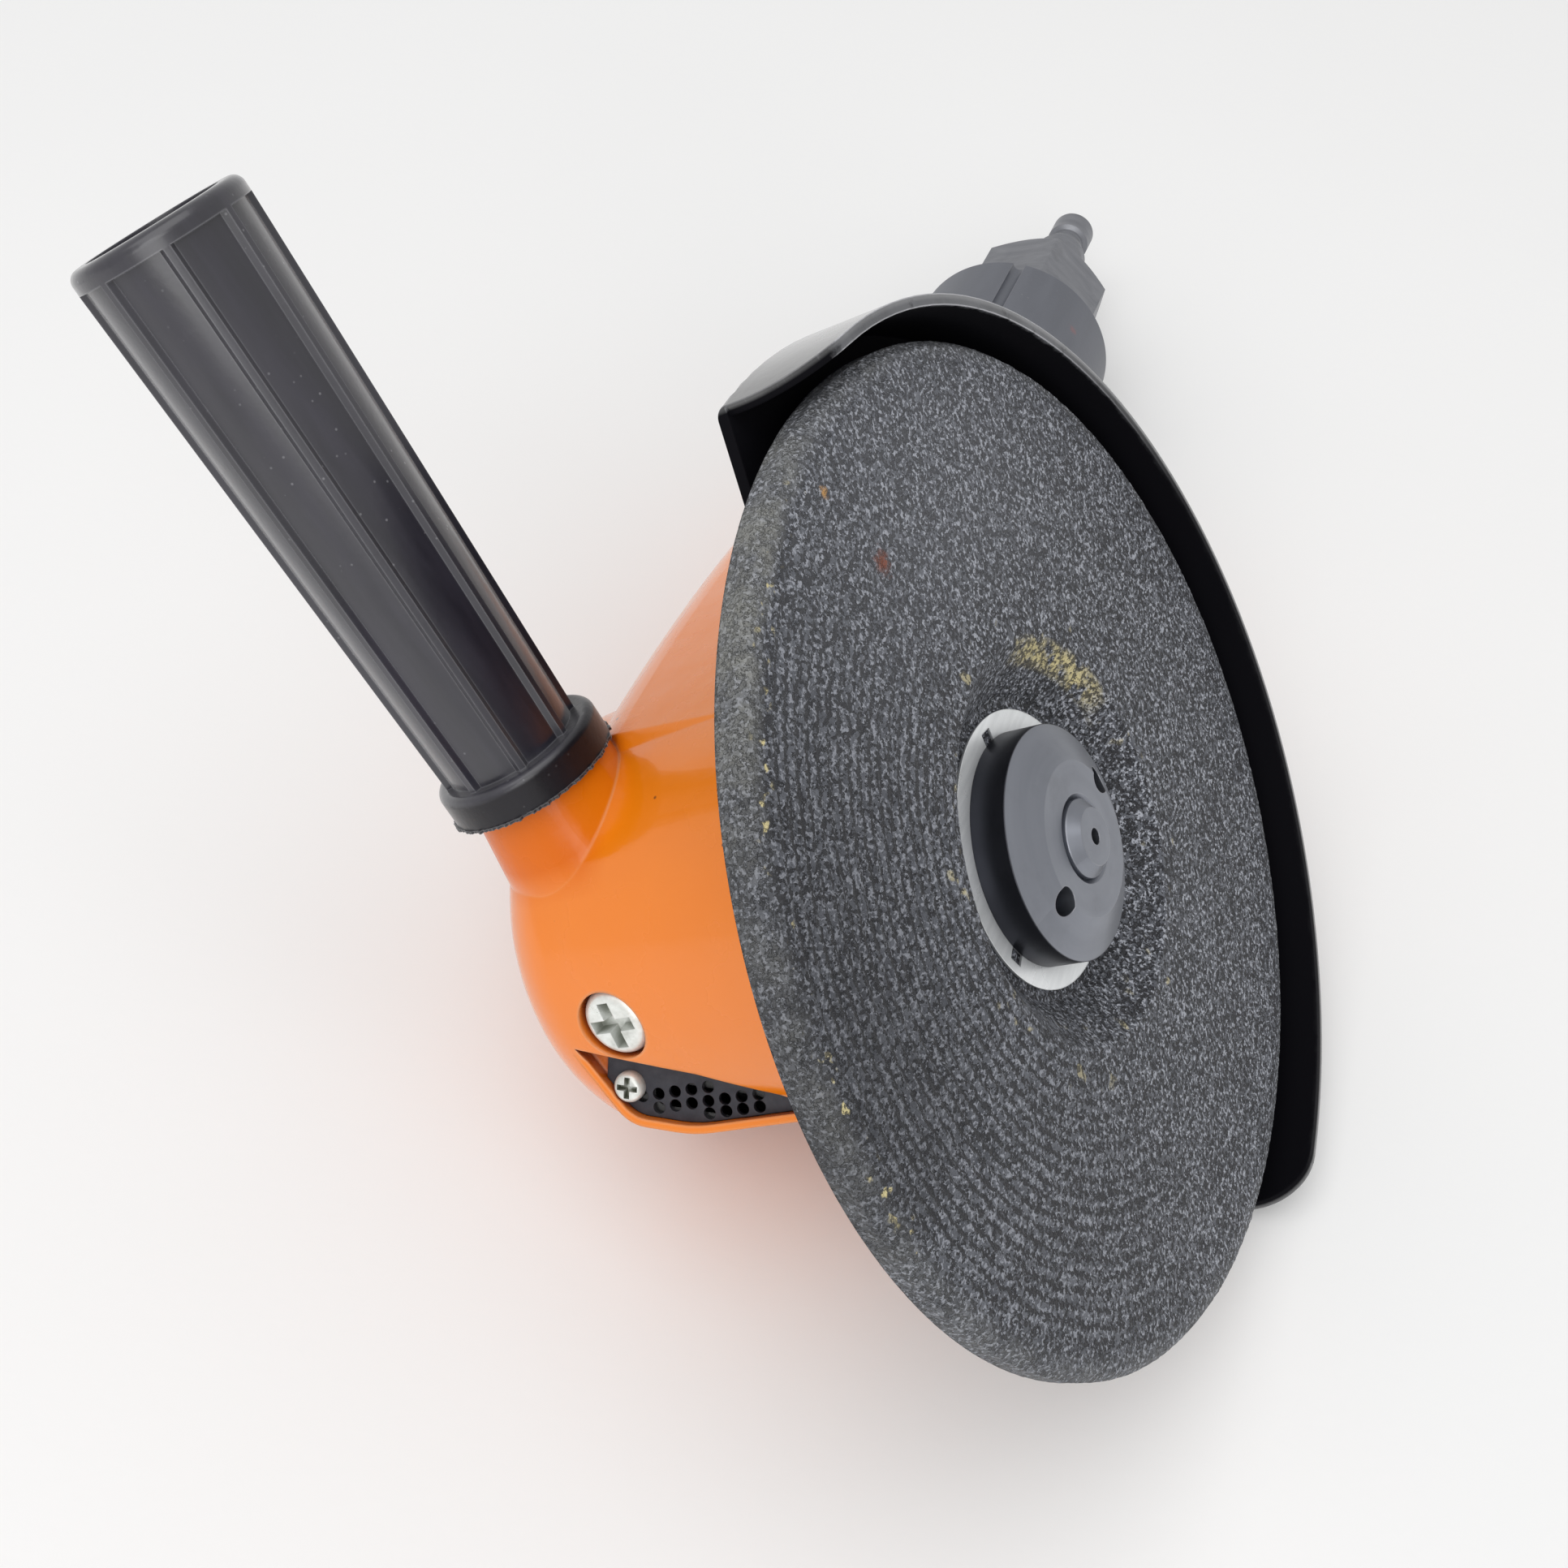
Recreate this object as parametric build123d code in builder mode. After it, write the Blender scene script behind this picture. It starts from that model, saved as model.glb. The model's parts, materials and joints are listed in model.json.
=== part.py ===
from build123d import *
from math import acos, cos, degrees, pi, radians, sin
import os

# Air-driven angle grinder with a vane motor standing upright in its head.
# Tool frame: X runs out along the tail, Y out along the side handle and Z out of
# the wheel along the spindle. Z is 0 at the front edge of the wheel's rim. The finished
# pieces are laid down together, as the tool lies on its side on a bench.

# Grinding wheel with a depressed centre
wheel_r = 90.0
wheel_thick = 6.0
wheel_face_z = 2.5
wheel_back_z = wheel_face_z - wheel_thick
worn_r = 84.6
worn_mid_r = 88.6
worn_mid_z = 1.7
wheel_bore_r = 11.15
hub_depth = 4.75
hub_r = 27.0
hub_slope_r = 36.0
ring_r = 25.0
ring_thick = 0.5
claw_count = 3
claw_r = 21.9
claw_start = 75.0
claw_long = 2.4
claw_wide = 3.2

# Spindle nose
thread_r = 7.0
nose_z = 7.5
nose_chamfer = 1.9
centre_hole_r = 1.5
centre_hole_deep = 9.0
nut_r = 21.0
nut_rim_z = 1.9
nut_flat_r = 13.8
nut_flat_z = 5.4
nut_lead = 1.0
spanner_pcd_r = 14.25
spanner_angle = 5.5
spanner_hole_r = 2.5
spanner_hole_deep = 6.0
hub_front_z = -hub_depth - ring_thick
hub_back_z = hub_front_z - wheel_thick
flange_r = 20.5
flange_thick = 4.5
pilot_r = 11.1
pilot_long = 3.5
flange_back_z = hub_back_z - flange_thick

# Barrel of the head, along the spindle
barrel_r = 43.0
barrel_front_z = -27.0
barrel_rear_z = -100.0
barrel_round = 15.5
bore_r = 37.0
bore_end_z = -94.0
floor_relief = 0.5
floor_relief_r = 11.0

# Front cover that carries the lower bearing and the guard
cover_flange_z = -22.0
neck_r = 30.0
neck_front_z = -13.3
recess_r = 23.0
recess_floor_z = -18.0
spigot_end_z = -36.0
seal_r = 15.0
seal_end_z = -23.0
lower_race_r = 20.0
cover_lip_r = 18.0
lower_bearing_top_z = -35.0
cover_bolt_r = 39.5
cover_bolt_count = 4
cover_bolt_shank_r = 1.5
cover_bolt_head_r = 2.7
cover_bolt_head_long = 2.6
cover_bolt_end_z = -40.0
cover_bolt_start = 45.0
cover_hex_r = 1.4

# Vane motor
journal_r = 8.5
rear_journal_r = 6.0
shoulder_r = 10.5
lower_plate_end_z = -42.0
cylinder_end_z = -82.0
cylinder_bore_r = 27.0
eccentric = 2.3
rotor_r = 24.4
rotor_gap = 0.3
vane_count = 5
vane_thick = 2.0
slot_wide = 2.1
slot_floor_r = 14.0
slot_mouth_r = 25.4
vane_tip_r = 24.2
vane_foot_r = 14.6
key_wide = 5.0
key_foot_r = 5.5
key_top_r = 10.2
key_start_z = -76.0
key_end_z = -48.0
upper_race_r = 16.0
upper_bearing_end_z = -84.0
spindle_rear_z = -93.0
port_wide = 12.0
port_high = 26.0
port_w = -14.0
port_z = -66.0
inlet_port_r = 4.5
vane_start = 36.0
shaft_clear = 1.0
bearing_clear = 0.03
bearing_land = 2.0
cage_half = 1.0
lower_ball_r = 3.375
lower_ball_count = 8
upper_ball_r = 2.98
upper_ball_count = 7

# Guard with its clamp band
guard_in_r = 95.8
guard_off_t = -1.65
guard_off_w = -1.0
guard_sheet = 2.0
guard_lip_z = 6.4
guard_plate_z = -10.0
guard_half_angle = 89.5
guard_corner = 12.0
guard_tip_round = 14.0
guard_bend = 1.9
guard_root_r = 43.0
band_in_r = 30.05
band_thick = 2.6
band_front_z = -11.0
band_back_z = -21.4
band_split = 6.0
ear_tip_r = 45.0
ear_thick = 4.0
ear_front_z = -13.0
clamp_r = 39.5
clamp_z = -17.0
clamp_screw_r = 2.0
clamp_head_r = 3.5
clamp_head_long = 4.0
clamp_nut_flats = 7.0
clamp_nut_thick = 3.2

# Neck, tail and throttle, along the tail axis
tail_z = -76.5
neck_sections = (
    (-14.0, -70.0, 38.3, 26.0, 28.5, 8.0, 1.2),
    (0.0, -70.5, 44.6, 26.0, 29.0, 8.0, 1.2),
    (85.0, -75.5, 38.7, 25.5, 26.5, 13.0, 0.6),
    (160.0, -76.5, 25.5, 25.5, 25.5, 25.3, 0.0),
)
neck_wall = 7.0
cavity_start_t = 52.0
cavity_end_t = 145.0
tail_r = 25.5
label_t = 107.0
label_z = -74.0
label_long = 66.0
label_high = 24.0
label_round = 5.0
label_deep = 0.8
tail_loft_t = 160.0
tail_end_t = 176.0
passage_r = 9.0
socket_r = 13.0
socket_floor_t = 152.0
valve_journal_r = 15.5
valve_bore_r = 8.0
valve_shoulder_t = 219.4
valve_end_t = 234.0
valve_thread_r = 11.0
sleeve_r = 26.5
sleeve_gap = 0.4
sleeve_clear = 0.05
groove_count = 2
groove_r = 1.6
groove_angle = 33.0
pin_t = 198.0
pin_r = 2.0
pin_window_wide = 4.6
pin_window_angle = 90.0
pin_angle = 110.0
pin_foot_r = 5.5
pin_top_r = 20.0
valve_wall_t = 184.0
valve_wall_thick = 4.0
valve_port_r = 2.0
valve_port_pcd_r = 4.6
valve_open_angle = 50.0
spool_clear = 0.05
spool_start_t = 188.3
spool_wall = 4.0
spool_end_t = 217.0
spool_bore_r = 5.0
seal_ring_r = 0.9
seal_groove_r = 6.0
seal_groove_wide = 2.0
seal_ring_t = (194.2, 212.0)
hex_flats = 34.0
hex_end_t = 251.3
hex_lead = 2.0
hex_turn = 43.5
strainer_r = 10.5
strainer_thick = 0.8
strainer_hole_r = 0.8
strainer_pitch = 1.6
strainer_rows = 4
thread_bore_end_t = 236.0
nipple_thread_r = 6.4
nipple_seat_t = 240.0
nipple_r = 6.0
nipple_neck_r = 4.9
nipple_collar_r = 7.4
nipple_collar_t = 274.0
nipple_neck_t = 280.0
nipple_nose_t = 282.0
nipple_lead = 1.0
nipple_tip_t = 292.0
nipple_tip_lead = 2.0
nipple_bore_r = 3.2

# Side handle and its boss
handle_t = -14.4
handle_z = -82.0
handle_sweep = 3.9
handle_lean = -0.1
boss_end_w = 48.0
boss_end_r = 14.0
boss_root_r = 16.2
boss_root_w = 31.0
boss_hole_r = 5.0
boss_hole_floor_w = 38.8
stud_r = 4.95
stud_end_w = 142.0
grip_start_w = 48.0
collar_long = 6.8
collar_r = 16.4
collar_off_x = -1.0
collar_off_y = 0.55
collar_round = 1.6
grip_off_x = -1.5
grip_off_y = 0.8
grip_end_w = 161.5
grip_base_r = 13.6
grip_end_r = 16.15
grip_sides = 8
ridge_wide = 1.3
ridge_slope = 0.7
flute_deep = 1.1
grip_rim_long = 3.6
grip_cup_r = 12.4
grip_cup_deep = 6.0
grip_rim_round = 2.0

# Exhaust mouth, its hood, grille and screws on the front of the barrel
mouth_origin = (-42.9, 2.2, -81.6)
mouth_along = (0.047, -0.401, 0.915)
mouth_out = (-0.833, 0.490, 0.257)
hood_corners = ((-9.5, 4.4), (5.4, -10.2), (18.2, -10.2), (50.0, -1.0), (19.0, 3.6))
hood_rear_round = 8.0
hood_front_round = 25.0
hood_deep = 24.0
hood_run = (0.727, -0.686, 0.0)
hood_wall = 1.5
grille_sunk = 2.0
grille_thick = 1.0
grille_clear = 0.1
grille_hole_r = 1.15
grille_start = -0.2
grille_pitch = 3.3
grille_turn = 16.0
grille_rows = ((6.9, -5.1, 5), (10.3, -6.8, 7), (20.2, -6.35, 4))
mouth_port_x = 20.0
mouth_port_y = -4.2
mouth_port_long = 22.0
mouth_port_wide = 4.6
mouth_port_deep = 14.0
small_screw_x = 4.6
small_screw_y = -3.4
big_screw_angle = 14.0
big_screw_z = -74.6
big_screw_head_r = 6.7
big_screw_head_long = 3.6
big_screw_crown = 2.4
cross_long = 0.7
cross_wide = 0.38
cross_deep = 0.7
cross_taper = 8.0
big_screw_sunk = 4.0
big_screw_recess_r = 7.0
big_screw_r = 2.9
big_screw_long = 12.0
small_screw_head_r = 2.9
small_screw_head_long = 2.2
small_screw_crown = 1.4
small_screw_r = 1.4
small_screw_long = 4.2

# Attitude of the tool lying on its guard, neck and sleeve, set over the middle of its box
lying_roll = 54.631
lying_pitch = 4.228
lying_shift = (-99.088, -55.746, 86.73)

side_plane = Plane.XZ
tail_axis = Axis((0, 0, tail_z), (1, 0, 0))
tail_plane = Plane(origin=(0, 0, tail_z), x_dir=(1, 0, 0), z_dir=(0, -1, 0))
screw_seat_r = barrel_r - big_screw_sunk
screw_dir = (-cos(radians(big_screw_angle)), sin(radians(big_screw_angle)), 0)
screw_plane = Plane(
    origin=(screw_seat_r * screw_dir[0], screw_seat_r * screw_dir[1], big_screw_z),
    x_dir=(0, 0, 1), z_dir=screw_dir)
tail_cross = Plane(origin=(0, 0, tail_z), x_dir=(0, 1, 0), z_dir=(1, 0, 0))
pin_dir = (0, cos(radians(pin_angle)), sin(radians(pin_angle)))
pin_plane = Plane(origin=(pin_t, 0, tail_z), x_dir=(1, 0, 0), z_dir=pin_dir)
hex_corner_r = hex_flats / 3 ** 0.5
handle_dir = (
    sin(radians(handle_sweep)) * cos(radians(handle_lean)),
    cos(radians(handle_sweep)) * cos(radians(handle_lean)), sin(radians(handle_lean)))
handle_side = (cos(radians(handle_sweep)), -sin(radians(handle_sweep)), 0)
handle_foot = (handle_t, 0, handle_z)
handle_axis = Axis(handle_foot, handle_dir)
handle_profile = Plane(origin=handle_foot, x_dir=handle_dir, z_dir=handle_side)
handle_cross = Plane(origin=handle_foot, x_dir=handle_side, z_dir=handle_dir)
collar_cross = Plane(
    origin=handle_cross.from_local_coords((collar_off_x, collar_off_y, 0)),
    x_dir=handle_side, z_dir=handle_dir)
grip_cross = Plane(
    origin=handle_cross.from_local_coords((grip_off_x, grip_off_y, 0)),
    x_dir=handle_side, z_dir=handle_dir)


def turned(points, plane=side_plane, axis=Axis.Z):
    """A solid turned from a closed half profile."""
    with BuildPart() as piece:
        with BuildSketch(plane):
            with BuildLine():
                Polyline(*points, close=True)
            make_face()
        revolve(axis=axis)
    return piece


def tube(inner, outer, low, high):
    """A plain ring round the spindle."""
    return turned([(inner, low), (outer, low), (outer, high), (inner, high)])


def on_pan(radius, angle):
    """A point on the guard's pan, with the angle measured from the tail."""
    return (
        guard_off_t + radius * cos(radians(angle)),
        guard_off_w + radius * sin(radians(angle)))


# Grinding wheel, its steel ring and the parts that clamp it
with BuildPart() as grinding_wheel:
    with BuildSketch(side_plane):
        with BuildLine():
            ThreePointArc((wheel_r, 0), (worn_mid_r, worn_mid_z), (worn_r, wheel_face_z))
            Polyline(
                (worn_r, wheel_face_z), (hub_slope_r, wheel_face_z), (hub_r, hub_front_z),
                (wheel_bore_r, hub_front_z), (wheel_bore_r, hub_back_z), (hub_r, hub_back_z),
                (hub_slope_r, wheel_back_z), (wheel_r, wheel_back_z), (wheel_r, 0))
        make_face()
    revolve(axis=Axis.Z)

with BuildPart() as wheel_ring:
    with BuildSketch(Plane.XY.offset(hub_front_z)):
        Circle(ring_r)
        Circle(wheel_bore_r, mode=Mode.SUBTRACT)
        with PolarLocations(claw_r, claw_count, start_angle=claw_start):
            Rectangle(claw_long, claw_wide, mode=Mode.SUBTRACT)
    extrude(amount=ring_thick)

with BuildPart() as lock_nut:
    with BuildSketch(side_plane):
        with BuildLine():
            Polyline(
                (thread_r, -hub_depth), (nut_r, -hub_depth), (nut_r, nut_rim_z),
                (nut_flat_r, nut_flat_z), (thread_r + nut_lead, nut_flat_z),
                (thread_r, nut_flat_z - nut_lead), close=True)
        make_face()
    revolve(axis=Axis.Z)
    with BuildSketch(Plane.XY.offset(nut_flat_z)):
        with PolarLocations(spanner_pcd_r, 2, start_angle=spanner_angle):
            Circle(spanner_hole_r)
    extrude(amount=-spanner_hole_deep, mode=Mode.SUBTRACT)

inner_flange = turned([
    (thread_r + sleeve_clear, flange_back_z), (flange_r, flange_back_z), (flange_r, hub_back_z),
    (pilot_r, hub_back_z), (pilot_r, hub_back_z + pilot_long),
    (thread_r + sleeve_clear, hub_back_z + pilot_long),
])

with BuildPart() as spindle:
    with BuildSketch(side_plane):
        with BuildLine():
            Polyline(
                (0, spindle_rear_z), (rear_journal_r, spindle_rear_z),
                (rear_journal_r, cylinder_end_z), (journal_r, cylinder_end_z),
                (journal_r, lower_plate_end_z), (shoulder_r, lower_plate_end_z),
                (shoulder_r, lower_bearing_top_z), (journal_r, lower_bearing_top_z),
                (journal_r, flange_back_z), (thread_r, flange_back_z),
                (thread_r, nose_z - nose_chamfer), (thread_r - nose_chamfer, nose_z),
                (centre_hole_r, nose_z), (centre_hole_r, nose_z - centre_hole_deep),
                (0, nose_z - centre_hole_deep), close=True)
        make_face()
    revolve(axis=Axis.Z)
    with BuildSketch(Plane.XY.offset(key_start_z)):
        with Locations((key_foot_r + journal_r, 0)):
            Rectangle(2 * journal_r, key_wide)
    extrude(amount=key_end_z - key_start_z, mode=Mode.SUBTRACT)


# Ball bearings: outer ring, inner ring, and balls held in a cage
def bearing(bore, outside, low, high, ball_r, balls):
    """The three pieces of a ball bearing round the spindle."""
    pitch_r = (bore + outside) / 2
    middle = (low + high) / 2
    track_r = ball_r + bearing_clear
    rings = []
    for inner, outer in ((pitch_r + bearing_land, outside), (bore, pitch_r - bearing_land)):
        with BuildPart() as race:
            with BuildSketch(Plane.XY.offset(low)):
                Circle(outer)
                Circle(inner, mode=Mode.SUBTRACT)
            extrude(amount=high - low)
            with BuildSketch(side_plane):
                with Locations((pitch_r, middle)):
                    Circle(track_r)
            revolve(axis=Axis.Z, mode=Mode.SUBTRACT)
        rings.append(race.part)
    with BuildPart() as caged:
        with BuildSketch(Plane.XY.offset(middle - cage_half)):
            Circle(pitch_r + cage_half)
            Circle(pitch_r - cage_half, mode=Mode.SUBTRACT)
        extrude(amount=2 * cage_half)
        with Locations(Plane.XY.offset(middle)):
            with PolarLocations(pitch_r, balls):
                Sphere(ball_r)
    return rings[0], rings[1], caged.part


lower_bearing = bearing(
    journal_r, lower_race_r, lower_bearing_top_z, seal_end_z, lower_ball_r, lower_ball_count)
upper_bearing = bearing(
    rear_journal_r, upper_race_r, bore_end_z, upper_bearing_end_z, upper_ball_r, upper_ball_count)

# Vane motor: eccentric cylinder between two end plates, with a slotted rotor
with BuildPart() as motor_cylinder:
    with BuildSketch(Plane.XY.offset(cylinder_end_z)):
        Circle(bore_r)
        with Locations((eccentric, 0)):
            Circle(cylinder_bore_r, mode=Mode.SUBTRACT)
    extrude(amount=lower_plate_end_z - cylinder_end_z)
    with BuildSketch(Plane.YZ):
        with Locations((port_w, port_z)):
            Rectangle(port_wide, port_high)
    extrude(amount=-barrel_r, mode=Mode.SUBTRACT)
    with BuildSketch(Plane.YZ):
        with Locations((0, tail_z)):
            Circle(inlet_port_r)
    extrude(amount=barrel_r, mode=Mode.SUBTRACT)
    with BuildSketch(screw_plane):
        Circle(big_screw_r + sleeve_clear)
    extrude(amount=-big_screw_long, mode=Mode.SUBTRACT)

lower_end_plate = tube(shoulder_r + shaft_clear, bore_r, lower_plate_end_z, spigot_end_z)
upper_end_plate = turned([
    (journal_r + shaft_clear, cylinder_end_z), (bore_r, cylinder_end_z), (bore_r, bore_end_z),
    (upper_race_r, bore_end_z), (upper_race_r, upper_bearing_end_z),
    (journal_r + shaft_clear, upper_bearing_end_z),
])

rotor_low_z = cylinder_end_z + rotor_gap
rotor_high_z = lower_plate_end_z - rotor_gap
with BuildPart() as rotor:
    with BuildSketch(Plane.XY.offset(rotor_low_z)):
        Circle(rotor_r)
        Circle(journal_r, mode=Mode.SUBTRACT)
        with Locations((key_top_r / 2, 0)):
            Rectangle(key_top_r, key_wide, mode=Mode.SUBTRACT)
        with PolarLocations((slot_floor_r + slot_mouth_r) / 2, vane_count, start_angle=vane_start):
            Rectangle(slot_mouth_r - slot_floor_r, slot_wide, mode=Mode.SUBTRACT)
    extrude(amount=rotor_high_z - rotor_low_z)

with BuildPart() as rotor_vanes:
    with BuildSketch(Plane.XY.offset(rotor_low_z)):
        with PolarLocations((vane_foot_r + vane_tip_r) / 2, vane_count, start_angle=vane_start):
            Rectangle(vane_tip_r - vane_foot_r, vane_thick)
    extrude(amount=rotor_high_z - rotor_low_z)

with BuildPart() as rotor_key:
    with BuildSketch(Plane.XY.offset(key_start_z)):
        with Locations(((key_foot_r + key_top_r) / 2, 0)):
            Rectangle(key_top_r - key_foot_r, key_wide)
    extrude(amount=key_end_z - key_start_z)

# Front cover with its seal and bolts
with BuildPart() as front_cover:
    with BuildSketch(side_plane):
        with BuildLine():
            Polyline(
                (seal_r, recess_floor_z), (recess_r, recess_floor_z), (recess_r, neck_front_z),
                (neck_r, neck_front_z), (neck_r, cover_flange_z), (barrel_r, cover_flange_z),
                (barrel_r, barrel_front_z), (bore_r, barrel_front_z), (bore_r, spigot_end_z),
                (cover_lip_r, spigot_end_z), (cover_lip_r, lower_bearing_top_z),
                (lower_race_r, lower_bearing_top_z), (lower_race_r, seal_end_z),
                (seal_r, seal_end_z), close=True)
        make_face()
    revolve(axis=Axis.Z)
    with BuildSketch(Plane.XY.offset(cover_flange_z)):
        with PolarLocations(cover_bolt_r, cover_bolt_count, start_angle=cover_bolt_start):
            Circle(cover_bolt_head_r + sleeve_clear)
    extrude(amount=-cover_bolt_head_long, mode=Mode.SUBTRACT)
    with BuildSketch(Plane.XY.offset(cover_flange_z)):
        with PolarLocations(cover_bolt_r, cover_bolt_count, start_angle=cover_bolt_start):
            Circle(cover_bolt_shank_r + sleeve_clear)
    extrude(amount=barrel_front_z - cover_flange_z, mode=Mode.SUBTRACT)

shaft_seal = tube(journal_r + sleeve_clear, seal_r, seal_end_z, recess_floor_z)

with BuildPart() as cover_screws:
    with BuildSketch(Plane.XY.offset(cover_flange_z - cover_bolt_head_long)):
        with PolarLocations(cover_bolt_r, cover_bolt_count, start_angle=cover_bolt_start):
            Circle(cover_bolt_head_r)
    extrude(amount=cover_bolt_head_long)
    with BuildSketch(Plane.XY.offset(cover_flange_z - cover_bolt_head_long)):
        with PolarLocations(cover_bolt_r, cover_bolt_count, start_angle=cover_bolt_start):
            RegularPolygon(cover_hex_r, 6)
    extrude(amount=cover_bolt_head_long, mode=Mode.SUBTRACT)
    with BuildSketch(Plane.XY.offset(cover_flange_z - cover_bolt_head_long)):
        with PolarLocations(cover_bolt_r, cover_bolt_count, start_angle=cover_bolt_start):
            Circle(cover_bolt_shank_r)
    extrude(amount=cover_bolt_end_z - cover_flange_z + cover_bolt_head_long)

# Guard: half a pan of sheet round the wheel, on a split band
plate_rear_z = guard_plate_z - guard_sheet
guard_out_r = guard_in_r + guard_sheet
tangent_angle = guard_half_angle + degrees(acos(guard_root_r / guard_out_r))

with BuildPart() as guard:
    with BuildSketch(Plane.XY.offset(guard_plate_z)):
        with BuildLine():
            ThreePointArc(
                on_pan(guard_out_r, -guard_half_angle), on_pan(guard_out_r, 0),
                on_pan(guard_out_r, guard_half_angle))
            Line(on_pan(guard_out_r, guard_half_angle), on_pan(guard_root_r, tangent_angle))
            ThreePointArc(
                on_pan(guard_root_r, tangent_angle), on_pan(guard_root_r, 180),
                on_pan(guard_root_r, -tangent_angle))
            Line(on_pan(guard_root_r, -tangent_angle), on_pan(guard_out_r, -guard_half_angle))
        make_face()
        Circle(band_in_r + band_thick, mode=Mode.SUBTRACT)
    extrude(amount=-guard_sheet)
    with BuildSketch(Plane.XY.offset(plate_rear_z)):
        with BuildLine():
            ThreePointArc(
                on_pan(guard_out_r, -guard_half_angle), on_pan(guard_out_r, 0),
                on_pan(guard_out_r, guard_half_angle))
            Line(on_pan(guard_out_r, guard_half_angle), on_pan(guard_in_r, guard_half_angle))
            ThreePointArc(
                on_pan(guard_in_r, guard_half_angle), on_pan(guard_in_r, 0),
                on_pan(guard_in_r, -guard_half_angle))
            Line(on_pan(guard_in_r, -guard_half_angle), on_pan(guard_out_r, -guard_half_angle))
        make_face()
    extrude(amount=guard_lip_z - plate_rear_z)
    lip_ends = guard.edges().group_by(Axis.Z)[-1].filter_by(GeomType.LINE)
    fillet(lip_ends.sort_by(Axis.Y)[0], guard_corner)
    lip_ends = guard.edges().group_by(Axis.Z)[-1].filter_by(GeomType.LINE)
    fillet(lip_ends.sort_by(Axis.Y)[-1], guard_tip_round)
    bend = guard.edges().group_by(Axis.Z)[0].filter_by(GeomType.CIRCLE)
    fillet(bend.sort_by(SortBy.RADIUS)[-1], guard_bend)

band_out_r = band_in_r + band_thick
with BuildPart() as guard_band:
    with BuildSketch(Plane.XY.offset(band_back_z)):
        Circle(band_out_r)
    extrude(amount=band_front_z - band_back_z)
    with BuildSketch(Plane.XY.offset(band_back_z)):
        with Locations((-(ear_tip_r + neck_r) / 2, 0)):
            Rectangle(ear_tip_r - neck_r, band_split + 2 * ear_thick)
    extrude(amount=ear_front_z - band_back_z)
    with BuildSketch(Plane.XY.offset(band_back_z)):
        Circle(band_in_r)
        with Locations((-ear_tip_r / 2, 0)):
            Rectangle(ear_tip_r, band_split)
    extrude(amount=band_front_z - band_back_z, mode=Mode.SUBTRACT)
    with BuildSketch(Plane.XZ):
        with Locations((-clamp_r, clamp_z)):
            Circle(clamp_screw_r + sleeve_clear)
    extrude(amount=ear_tip_r, both=True, mode=Mode.SUBTRACT)

ear_side = band_split / 2 + ear_thick
with BuildPart() as guard_clamp_screw:
    with BuildSketch(Plane.XZ.offset(-ear_side)):
        with Locations((-clamp_r, clamp_z)):
            Circle(clamp_head_r)
    extrude(amount=-clamp_head_long)
    with BuildSketch(Plane.XZ.offset(-ear_side)):
        with Locations((-clamp_r, clamp_z)):
            Circle(clamp_screw_r)
    extrude(amount=2 * ear_side + clamp_nut_thick)

with BuildPart() as guard_clamp_nut:
    with BuildSketch(Plane.XZ.offset(ear_side)):
        with Locations((-clamp_r, clamp_z)):
            RegularPolygon(clamp_nut_flats / 2, 6, major_radius=False)
            Circle(clamp_screw_r + sleeve_clear, mode=Mode.SUBTRACT)
    extrude(amount=clamp_nut_thick)

# Exhaust mouth: a lens-shaped pocket in the barrel under a short hood
mouth_plane = Plane(origin=mouth_origin, x_dir=mouth_along, z_dir=mouth_out)
grille_seat = grille_sunk + grille_thick


def mouth_shape(inset):
    """The outline of the mouth, drawn in from the outside of its lip."""
    with BuildSketch(mouth_plane) as shape:
        with BuildLine():
            Polyline(*hood_corners, close=True)
        make_face()
        fillet(shape.vertices().group_by(Axis.Y)[0].sort_by(Axis.X)[0], hood_rear_round)
        fillet(shape.vertices().group_by(Axis.Y)[0].sort_by(Axis.X)[-1], hood_front_round)
        if inset > 0:
            offset(amount=-inset, kind=Kind.INTERSECTION, mode=Mode.REPLACE)
    return shape.sketch


lip_outline = mouth_shape(0)
pocket_outline = mouth_shape(hood_wall)
grille_outline = mouth_shape(hood_wall + grille_clear)

with BuildPart() as exhaust_grille:
    extrude(grille_outline, amount=-grille_seat)
    extrude(grille_outline, amount=-grille_sunk, mode=Mode.SUBTRACT)
    split(bisect_by=Plane(
        origin=mouth_plane.from_local_coords((grille_start, 0, 0)), z_dir=mouth_along), keep=Keep.TOP)
    with BuildSketch(mouth_plane):
        for row_x, row_y, holes in grille_rows:
            for step in range(holes):
                along = step * grille_pitch
                with Locations((
                        row_x + along * cos(radians(grille_turn)),
                        row_y + along * sin(radians(grille_turn)))):
                    Circle(grille_hole_r)
        with Locations((small_screw_x, small_screw_y)):
            Circle(small_screw_r + sleeve_clear)
    extrude(amount=-grille_seat, mode=Mode.SUBTRACT)

small_screw_plane = Plane(
    origin=mouth_plane.from_local_coords((small_screw_x, small_screw_y, -grille_sunk)),
    x_dir=mouth_along, z_dir=mouth_out)


def pan_screw(seat, head_r, head_long, shank_r, shank_long, crown):
    """A pan-head screw with a crowned, cross-slotted head."""
    with BuildPart() as screw:
        with BuildSketch(seat):
            Circle(head_r)
        extrude(amount=head_long)
        fillet(screw.faces().sort_by(Axis(seat.origin, seat.z_dir))[-1].edges(), crown)
        with BuildSketch(seat.offset(head_long)):
            Rectangle(2 * head_r * cross_long, head_r * cross_wide)
            Rectangle(head_r * cross_wide, 2 * head_r * cross_long)
        extrude(amount=-head_long * cross_deep, taper=cross_taper, mode=Mode.SUBTRACT)
        with BuildSketch(seat):
            Circle(shank_r)
        extrude(amount=-shank_long)
    return screw


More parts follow.
